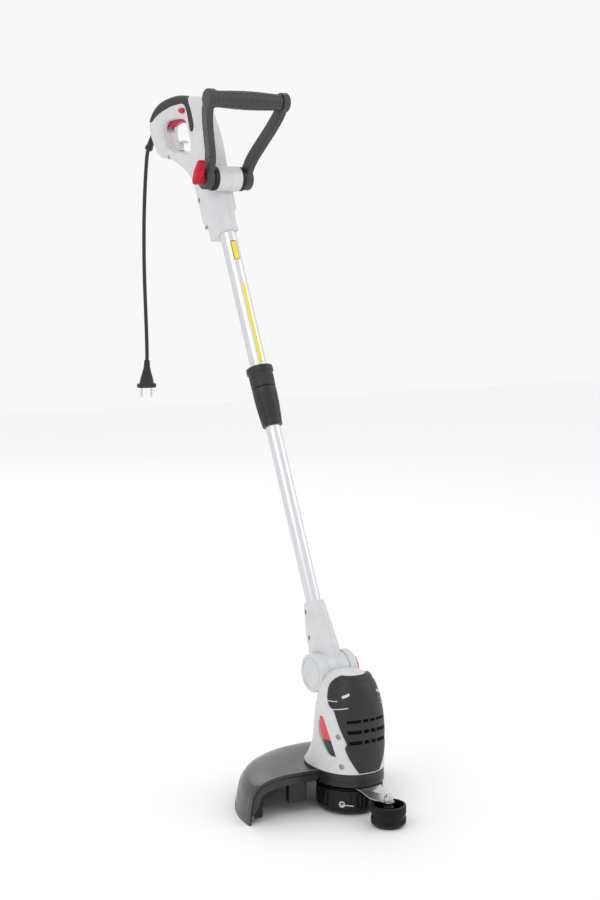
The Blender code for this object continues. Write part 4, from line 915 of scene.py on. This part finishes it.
for side, word in ((1, "left"), (-1, "right")):
    front_edge = ((0.094, 0.108, 0.122, 0.140, 0.157), (56.0, 63.0, 70.0, 80.0, 91.0))
    back_edge = ((0.094, 0.100, 0.112, 0.126, 0.142, 0.157), (63.0, 71.0, 82.0, 91.0, 95.5, 96.0))
    line_edge = (back_edge[0], (65.0, 73.5, 85.5, 95.0, 98.5, 97.5))
    patch(f"sticker_black_{word}", BLACK_VINYL, 0.096, 0.120, front_edge, back_edge, side)
    patch(f"sticker_red_{word}", RED_VINYL, 0.120, 0.154, front_edge, back_edge, side)
    patch(f"sticker_green_{word}", GREEN_VINYL, 0.098, 0.146, (back_edge[0], (63.6, 71.8, 83.0, 92.2, 96.2, 96.4)), line_edge, side)
print("side stickers made")

# %% [markdown]
# ## Tilt button and pivot cap
# The red button on the right frees the neck so that the head can be tilted. On the left the ear is plain, with a
# shallow groove round its face.

# %% Tilt pivot
button_outline = [(0, 0.0420), (0.0190, 0.0420), (0.0205, 0.0425), (0.0226, 0.0425), (0.0240, 0.0412), (0.0240, 0.0345),
                  (0.0112, 0.0345), (0.0112, 0.0260), (0, 0.0260)]
fit(turned("tilt_release_button", button_outline, pointing_x(TILT_AXIS), 96, 0.0008), "tilt_button", RED_ACETAL, "tilt_button")

# %% [markdown]
# ## Base ring, guard and line cutter
# A black ring closes the housing's bottom. The guard sweeps round the back of the spool: flat at first, then rolling
# over into a skirt that reaches the ground. Its profile is carried round the spool's axis, a raised rib stiffens its
# end, and a bead runs along the rim.

# %% Base ring
ring_z = np.array((0.0470, 0.0474, 0.0482, 0.0560, 0.0562, 0.0570, 0.0572, 0.0672, 0.0680, 0.0684))
ring_in = np.array((0.0018, 0.0006, 0.0, 0.0, 0.0005, 0.0005, 0.0, 0.0, 0.0005, 0.0016))
turn = np.linspace(0, 2 * np.pi, 144, endpoint=False)[None, :]
ring_grid = np.stack([
    (0.0560 - ring_in[:, None]) * corner(np.cos(turn), 2.25),
    0.0160 + (0.0720 - ring_in[:, None]) * corner(np.sin(turn), 2.25), ring_z[:, None] + 0 * turn], -1)
fit(surface("head_base_ring", ring_grid, around=True, ends=True), "motor_head", BLACK_NYLON, "base_ring")

# %% Guard
guard_profile = np.array((  # (radius, height) along the outside, from the head to the rim, then back inside
    (0.0500, 0.0645), (0.0900, 0.0658), (0.1150, 0.0662), (0.1320, 0.0652), (0.1450, 0.0632), (0.1560, 0.0602), (0.1650, 0.0560),
    (0.1718, 0.0490), (0.1765, 0.0400), (0.1792, 0.0270), (0.1812, 0.0140), (0.1822, 0.0060), (0.1831, 0.0056), (0.1831, 0.0)))
outside, _ = open_curve(guard_profile[:-3], 90)
outside = np.vstack([outside, guard_profile[-3:]])
inside_profile = np.array(((0.1800, 0.0), (0.1785, 0.0140), (0.1764, 0.0270), (0.1737, 0.0390), (0.1692, 0.0475), (0.1634, 0.0536),
                           (0.1550, 0.0578), (0.1444, 0.0606), (0.1300, 0.0627), (0.1150, 0.0636), (0.0900, 0.0632), (0.0500, 0.0619)))
inside, _ = open_curve(inside_profile, 80)
ring_profile = np.vstack([outside, inside])
around_to = math.radians(178.0)
turn = np.concatenate([np.linspace(math.radians(42.0), math.radians(170.0), 150), np.linspace(math.radians(170.2), around_to, 40)])[:, None]
r, h = ring_profile[:, 0][None, :], ring_profile[:, 1][None, :]
upper_side = np.arange(len(ring_profile))[None, :] < len(outside) - 3
lip = 0.0042 * window(turn, math.radians(173.5), 4.0, math.radians(1.2)) * (r > 0.055) * upper_side * window(h, 0.004, 0.2, 0.012)
start_lip = 0.0020 * window(turn, 0.0, math.radians(45.5), math.radians(1.0)) * (r > 0.055) * upper_side * window(h, 0.004, 0.2, 0.012)
grow = 1 + 0.0 * turn
guard_grid = np.stack([r * np.cos(turn) * grow, r * np.sin(turn) * grow, h + lip + start_lip], -1)
guard = surface("rear_guard", guard_grid, around=True, ends=True, sharp=40)
guard_hole = surface("guard_hole", np.stack([
    0.0563 * corner(np.cos(np.linspace(0, 2 * np.pi, 96, endpoint=False)), 2.25) * np.ones((2, 1)),
    0.0160 + 0.0723 * corner(np.sin(np.linspace(0, 2 * np.pi, 96, endpoint=False)), 2.25) * np.ones((2, 1)),
    np.array([[0.03], [0.09]]) * np.ones((1, 96))], -1), around=True, ends=True)
carve(guard, guard_hole)
edge_profile = outside[:-3]
slope = np.gradient(edge_profile, axis=0)
slope /= np.linalg.norm(slope, axis=1)[:, None]
skirt_depth = 0.0120 * window(edge_profile[:, 0], 0.0520, 0.30, 0.0100)[:, None] * window(edge_profile[:, 1], 0.0040, 0.3, 0.0300)[:, None]
under = edge_profile + np.column_stack([slope[:, 1], -slope[:, 0]]) * (skirt_depth + 0.0012)
top_line = edge_profile + np.column_stack([slope[:, 1], -slope[:, 0]]) * 0.0004
layers = [top_line, under]
skirt_front, skirt_back = math.radians(178.0), math.radians(176.7)
columns = [np.column_stack([line[:, 0] * math.cos(turn), line[:, 0] * math.sin(turn), line[:, 1]])
           for line, turn in ((layers[0], skirt_front), (layers[1], skirt_front), (layers[1], skirt_back), (layers[0], skirt_back))]
skirt = surface("guard_skirt", np.stack(columns, 1), around=True, ends=True, sharp=40)
fit(skirt, "motor_head", GUARD_PP)
fit(guard, "motor_head", GUARD_PP, "guard")
print("guard faces:", len(guard.data.polygons))

# %% Rib block and line cutter
for name, node, finish, bevel in (("guard_end_block", "guard_rib_block", BLACK_NYLON, 0.0022), ("line_cutting_blade", "line_cutter", BLACK_OXIDE, 0.0004)):
    solid = shown(name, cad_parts[node].data.copy())
    tidy(solid.data, 20)
    rounding = solid.modifiers.new("rounded", "BEVEL")
    rounding.width, rounding.segments, rounding.limit_method = bevel, 3, "ANGLE"
    fit(solid, "motor_head", finish, node)
print("rib block and blade made")

# %% [markdown]
# ## The spool
# The spool's cap is a shallow cup that holds the line, with a knurled rim for the hand and two steel eyelets where
# the line leaves it. In its middle is the knob that is tapped on the ground to feed more line.

# %% Spool
cap_outline = fillet([(0.0500, 0.0405), (0.0530, 0.0405), (0.0530, 0.0120), (0.0510, 0.0062), (0.0465, 0.0030), (0.0302, 0.0030),
                      (0.0302, 0.0060), (0.0450, 0.0060), (0.0505, 0.0120), (0.0505, 0.0390)], 0.0012, closed=True)
closed_outline = stations(np.vstack([cap_outline, cap_outline[:1]]), 0.0012)[:-1]
grip_ribs = lambda angle, height, radius: (radius > 0.0520) * (
    -0.0009 * np.clip(np.cos(angle * 30) * 2.2, 0, 1) * window(height, 0.0135, 0.0350, 0.003) + 0.0004 * window(height, 0.0370, 0.0400, 0.0006))
cap = turned("spool_cup", closed_outline, WORLD, 300, 0.0, wave=grip_ribs, closed=True, sharp=50)
fit(cap, "rotor", SPOOL_PP, "spool_cap")
for number, turn in enumerate((math.radians(223), math.radians(43))):
    c, s = math.cos(turn), math.sin(turn)
    at = axes((0.0529 * c, 0.0529 * s, 0.0200), (-s, c, 0), (0, 0, 1), (c, s, 0))
    eyelet = [(0.0052, 0.0016), (0.0052, 0.0002), (0.0042, 0.0002), (0.0042, -0.0028), (0.0024, -0.0028), (0.0024, 0.0010)]
    fit(turned(f"eyelet_{number + 1}", eyelet, at, 40, 0.0007, closed=True), "rotor", ZINC, f"line_eyelet_{number + 1}")
    stub_line, _ = open_curve(np.array(((0.0, 0.0, 0.0005), (0.0015, 0.0, 0.0026), (0.0060, -0.0002, 0.0034), (0.0190, -0.0008, 0.0028))), 40)
    ring_turn = np.linspace(0, 2 * np.pi, 14, endpoint=False)[None, :]
    stub_slope = np.gradient(stub_line, axis=0)
    stub_slope /= np.linalg.norm(stub_slope, axis=1)[:, None]
    stub_side = np.cross(stub_slope, (0.0, 1.0, 0.0))
    stub_grid = stub_line[:, None] + 0.0008 * (np.cos(ring_turn)[..., None] * stub_side[:, None] + np.sin(ring_turn)[..., None] * (0.0, 1.0, 0.0))
    fit(surface(f"line_end_{number + 1}", placed(stub_grid, at), around=True, ends=True), "rotor", CLEAR_LINE)
knob_outline = [(0, 0.0148), (0.0138, 0.0148), (0.0140, 0.0088), (0.0283, 0.0085), (0.0285, 0.0030), (0.0255, 0.0), (0, 0)]
dimples = lambda angle, height, radius: -0.0012 * np.clip(np.cos(angle * 6) * 2 - 1, 0, 1) * (radius > 0.024) * window(height, 0.0022, 0.02, 0.001)
fit(turned("feed_knob", stations(fillet(knob_outline, 0.0012)), WORLD, 144, 0.0, wave=dimples, sharp=50), "tap_knob", SPOOL_PP, "tap_knob")
print("spool made")

# %% [markdown]
# ## Edge wheel
# A pressed steel bracket holds a ribbed plastic wheel under a bright bolt. Run along a lawn's edge, the wheel keeps
# the line off the ground and off the wall.

# %% Wheel, bolt and bracket
WHEEL = axes((0, -0.1060, 0), (1, 0, 0), (0, 1, 0), (0, 0, 1))
R, H = 0.0272, 0.0340
wheel_outline = fillet([(R - 0.0004, H), (R - 0.0004, 0.0198), (R - 0.0024, 0.0187), (R - 0.0024, 0.0163), (R - 0.0004, 0.0152), (R - 0.0004, 0.0050),
                        (R - 0.0060, 0.0), (0.0115, 0.0), (0.0046, 0.0080), (0.0046, 0.0300), (0.0080, 0.0300), (0.0090, 0.0120),
                        (R - 0.0045, 0.0060), (R - 0.0035, H)], 0.0009, closed=True)
wheel_outline = stations(np.vstack([wheel_outline, wheel_outline[:1]]), 0.0010)[:-1]
tread = lambda angle, height, radius: (radius > R - 0.0012) * 0.0006 * np.clip(np.cos(angle * 44) * 2, -1, 1) * (
    window(height, 0.0055, 0.0150, 0.0008) + window(height, 0.0200, 0.0335, 0.0008))
wheel = turned("edge_wheel", wheel_outline, WHEEL, 352, 0.0, wave=tread, closed=True, sharp=50)
fit(wheel, "guide_wheel", SPOOL_PP, "guide_wheel")
hexagon = lambda angle, height, radius: (radius > 0.0050) * (0.0078 * np.cos(np.pi / 6) / np.cos((angle % (np.pi / 3)) - np.pi / 6) - radius) * window(height, 0.0392, 0.0462, 0.0004)
bolt_outline = stations(fillet([(0, 0.0500), (0.0040, 0.0498), (0.0040, 0.0458), (0.0078, 0.0452), (0.0078, 0.0394), (0.0078, 0.0386),
                                (0.0040, 0.0386), (0.0040, 0.0070), (0, 0.0070)], 0.0004), 0.0008)
fit(turned("wheel_hex_bolt", bolt_outline, WHEEL, 120, 0.0, wave=hexagon, sharp=28), "motor_head", ZINC, "wheel_bolt")
bracket = shown("pressed_bracket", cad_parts["wheel_bracket"].data.copy())
tidy(bracket.data, 25)
pressed = bracket.modifiers.new("rounded", "BEVEL")
pressed.width, pressed.segments, pressed.limit_method = 0.0004, 3, "ANGLE"
fit(bracket, "motor_head", ZINC, "wheel_bracket")
print("wheel, bolt and bracket made")

# %% [markdown]
# ## The front handle
# Two flat arms stand on toothed discs and bow outwards to a barrel grip, and a red knob on the left clamps them.
# Each arm is a rounded bar carried along a bent line, with slanting ridges on its outer face.

# %% Arms
LOOP_HUB_X, LOOP_GRIP_X, REACH = 0.0385, 0.0715, 0.1450
arm_line, _ = open_curve(np.array(((LOOP_HUB_X, 0.000), (LOOP_HUB_X, 0.022), (0.0420, 0.042), (0.0520, 0.070), (0.0625, 0.098), (0.0700, 0.124),
                                   (LOOP_GRIP_X, REACH))), 180)


def arm(name, side):
    """A bar round the arm's line: its section is an oval of power 5, 13 mm thick and 24 mm wide, ridged outside."""
    slope = np.gradient(arm_line, axis=0)
    slope /= np.linalg.norm(slope, axis=1)[:, None]
    turn = np.linspace(0, 2 * np.pi, 96, endpoint=False)[None, :]
    thick, wide = corner(np.cos(turn), 5.0), corner(np.sin(turn), 5.0)
    along = np.linspace(0, REACH, len(arm_line))[:, None]
    slant = np.clip(np.sin((along + 0.0120 * wide * 0.9) / 0.0125 * 2 * np.pi) * 2.2, -1, 1)
    ridge = 0.0006 * slant * (thick > 0.9) * window(wide, -0.86, 0.86, 0.1) * window(along, 0.030, 0.128, 0.004)
    half = 0.0064 * thick + ridge - 0.0006 * (ridge != 0)
    x = side * (arm_line[:, :1] + half * slope[:, 1:])
    h = arm_line[:, 1:] - half * slope[:, :1]
    return surface(name, placed(np.stack([x, 0.0119 * wide + 0 * x, h], -1), LOOP), around=True, ends=True, sharp=50)


for side, word in ((-1, "left"), (1, "right")):
    hub = turned("hub", [(0, 0.0309), (0.0190, 0.0309), (0.0190, 0.0455), (0.0, 0.0455)], (LOOP[0], np.column_stack([LOOP[1][:, 1] * side, LOOP[1][:, 2], ACROSS * side])), 72, 0.0018)
    end_at = placed(np.array((0.0, 0.0, REACH)), LOOP), np.column_stack([LOOP[1][:, 1] * side, LOOP[1][:, 2], ACROSS * side])
    end = turned("end", [(0, 0.0648), (0.0160, 0.0648), (0.0165, 0.0660), (0.0165, 0.0770), (0.0140, 0.0785), (0, 0.0785)], end_at, 72, 0.0014)
    fit(joined(f"front_arm_{word}", [arm("bar", side), hub, end]), "loop_handle", LOOP_NYLON, f"loop_arm_{word}")
    teeth = lambda angle, height, radius: 0.0005 * np.sign(np.cos(angle * 32)) * (radius > 0.018)
    disc_at = (boss_at, np.column_stack([BACK * side, UP, ACROSS * side]))
    disc = turned(f"toothed_disc_{word}", [(0, BOSS_HALF + 0.0003), (0.0203, BOSS_HALF + 0.0003), (0.0203, BOSS_HALF + 0.0080), (0, BOSS_HALF + 0.0080)], disc_at, 256, 0.0008, wave=teeth)
    fit(disc, "upper", BLACK_NYLON, f"boss_disc_{word}")
print("front handle's arms and discs made")

# %% [markdown]
# The grip is a barrel: thicker in its middle, with eight rows of slanting dimples moulded into its rubber.

# %% Barrel grip
half = LOOP_GRIP_X - 0.0073
along = np.concatenate([[-half, -half], np.linspace(-half, half, 300), [half, half]])[:, None]
turn = np.linspace(0, 2 * np.pi, 288, endpoint=False)[None, :]
barrel = 0.0134 + 0.0024 * np.cos(along / half * np.pi / 2) ** 1.2 - 0.0012 * (1 - window(along, -half - 0.003, half + 0.003, 0.004))
collar = 0.0006 * (window(along, -half, -half + 0.006, 0.0008) + window(along, half - 0.006, half, 0.0008))
row = turn / (2 * np.pi) * 8
cell = (along / 0.0135 + 0.5 * (np.floor(row) % 2)) % 1.0
slanted = (cell + 0.35 * (row % 1.0 - 0.5)) % 1.0
dimple = window(slanted, 0.22, 0.78, 0.13) * window(row % 1.0, 0.26, 0.74, 0.12) * window(along, -half + 0.009, half - 0.009, 0.002)
radius = barrel + collar - 0.0011 * dimple
radius[0], radius[-1] = 0.0, 0.0
grip_grid = np.stack([along + 0 * turn, radius * np.cos(turn), REACH + radius * np.sin(turn)], -1)
fit(surface("barrel_grip", placed(grip_grid, LOOP), around=True, sharp=50), "loop_handle", GRIP_RUBBER, "loop_grip")

# %% [markdown]
# The clamp is a lever on a round hub: long enough to turn with the thumb, and waisted at its sides.

# %% Clamp knob
knob_table = np.array((  # x, half depth, half height, middle height
    (-0.0459, 0.0088, 0.0088, 0.0000), (-0.0462, 0.0098, 0.0098, 0.0000), (-0.0490, 0.0100, 0.0105, 0.0000),
    (-0.0503, 0.0080, 0.0205, 0.0098), (-0.0508, 0.0086, 0.0218, 0.0102), (-0.0520, 0.0090, 0.0226, 0.0104),
    (-0.0590, 0.0084, 0.0228, 0.0105), (-0.0615, 0.0076, 0.0222, 0.0105), (-0.0628, 0.0062, 0.0208, 0.0105),
    (-0.0634, 0.0040, 0.0180, 0.0105), (-0.0635, 0.0008, 0.0060, 0.0100)))
out = np.linspace(0, 1, 60)
rows = np.interp(out, np.linspace(0, 1, len(knob_table)), np.arange(len(knob_table)))
x, deep, tall, middle = (np.interp(rows, np.arange(len(knob_table)), knob_table[:, k])[:, None] for k in range(4))
turn = np.linspace(0, 2 * np.pi, 160, endpoint=False)[None, :]
upper_part = np.clip(np.cos(turn), 0, 1)
waist = deep * (1.0 + 0.10 * np.cos(turn) - 0.22 * window(upper_part, 0.15, 0.95, 0.25))
notches = 0.0006 * np.cos(turn * 40) * window(upper_part, 0.1, 0.9, 0.2) * window(-x, 0.0515, 0.0615, 0.001)
knob_grid = np.stack([x + 0 * turn, (waist + notches) * np.sin(turn), middle + tall * np.cos(turn)], -1)
fit(surface("clamp_lever", placed(knob_grid, LOOP), around=True, ends=True, sharp=45), "clamp_knob", RED_ACETAL, "clamp_knob")
print("barrel grip and knob made")

# %% [markdown]
# ## Pieces that keep their CAD shape
# The motor, the reel and the bolts inside are already the right shape, so they only need their real finishes.

# %% Inside pieces
KEPT = {
    "motor_stator": LAMINATE, "armature": LAMINATE, "motor_plate": ALUMINIUM, "commutator": COPPER, "motor_fan": BLACK_NYLON,
    "motor_shaft": STEEL, "spool_housing": SPOOL_PP, "line_reel": SPOOL_PP, "wound_line": LINE, "tap_spring": STEEL,
    "slider_bush": BLACK_NYLON, "switch_body": BLACK_NYLON, "tilt_bolt": STEEL, "loop_bolt": STEEL,
}
for name, finish in KEPT.items():
    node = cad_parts[name]
    node.data.materials.clear()
    node.data.materials.append(finish)
print("CAD pieces with new finishes:", len(KEPT))

# %% [markdown]
# ## Floor and light
# A pale floor runs into a pale sky with no line between them. One large lamp in front and above gives the soft
# shape, a second from the right opens the shadows, and a strip behind lights the tubes' edges.

# %% Floor
floor_grid = np.stack(np.meshgrid(np.linspace(-6, 6, 3), np.linspace(-6, 6, 3), indexing="ij") + [np.zeros((3, 3))], -1)
floor = surface("floor", floor_grid)
floor_paint, tree, shader = blank("pale_floor")
speckle = add(tree, "TexNoise", {"Vector": turned_space(tree), "Scale": per_mm(400), "Detail": 2.0})
tint = add(tree, "ValToRGB", {"Fac": speckle.outputs["Fac"]})
tint.color_ramp.elements[0].color, tint.color_ramp.elements[1].color = linear("#fafafa"), linear("#fcfcfc")
tree.links.new(tint.outputs["Color"], shader.inputs["Base Color"])
shader.inputs["Roughness"].default_value = 0.7
floor.data.materials.append(floor_paint)


# %% Lamps
def lamp(name, location, size, power, aim=(0.0, 0.25, 0.6)):
    data = bpy.data.lights.new(name, "AREA")
    data.shape, data.size, data.energy = "SQUARE", size, power
    light = bpy.data.objects.new(name, data)
    light.location = location
    light.rotation_euler = (Vector(aim) - Vector(location)).to_track_quat("-Z", "Y").to_euler()
    bpy.context.scene.collection.objects.link(light)


lamp("front_left_lamp", (-2.8, -1.2, 2.6), 1.8, 16)
lamp("right_lamp", (2.8, -1.6, 2.4), 2.2, 14)
lamp("back_lamp", (0.6, 3.4, 2.6), 2.0, 12)
sky = bpy.data.worlds.new("pale_studio")
sky.use_nodes = True
sky.node_tree.nodes["Background"].inputs["Color"].default_value = linear("#fbfbfb")
sky.node_tree.nodes["Background"].inputs["Strength"].default_value = 0.97
bpy.context.scene.world = sky
bpy.context.scene.view_settings.view_transform = "Standard"
print("floor and three lamps made")
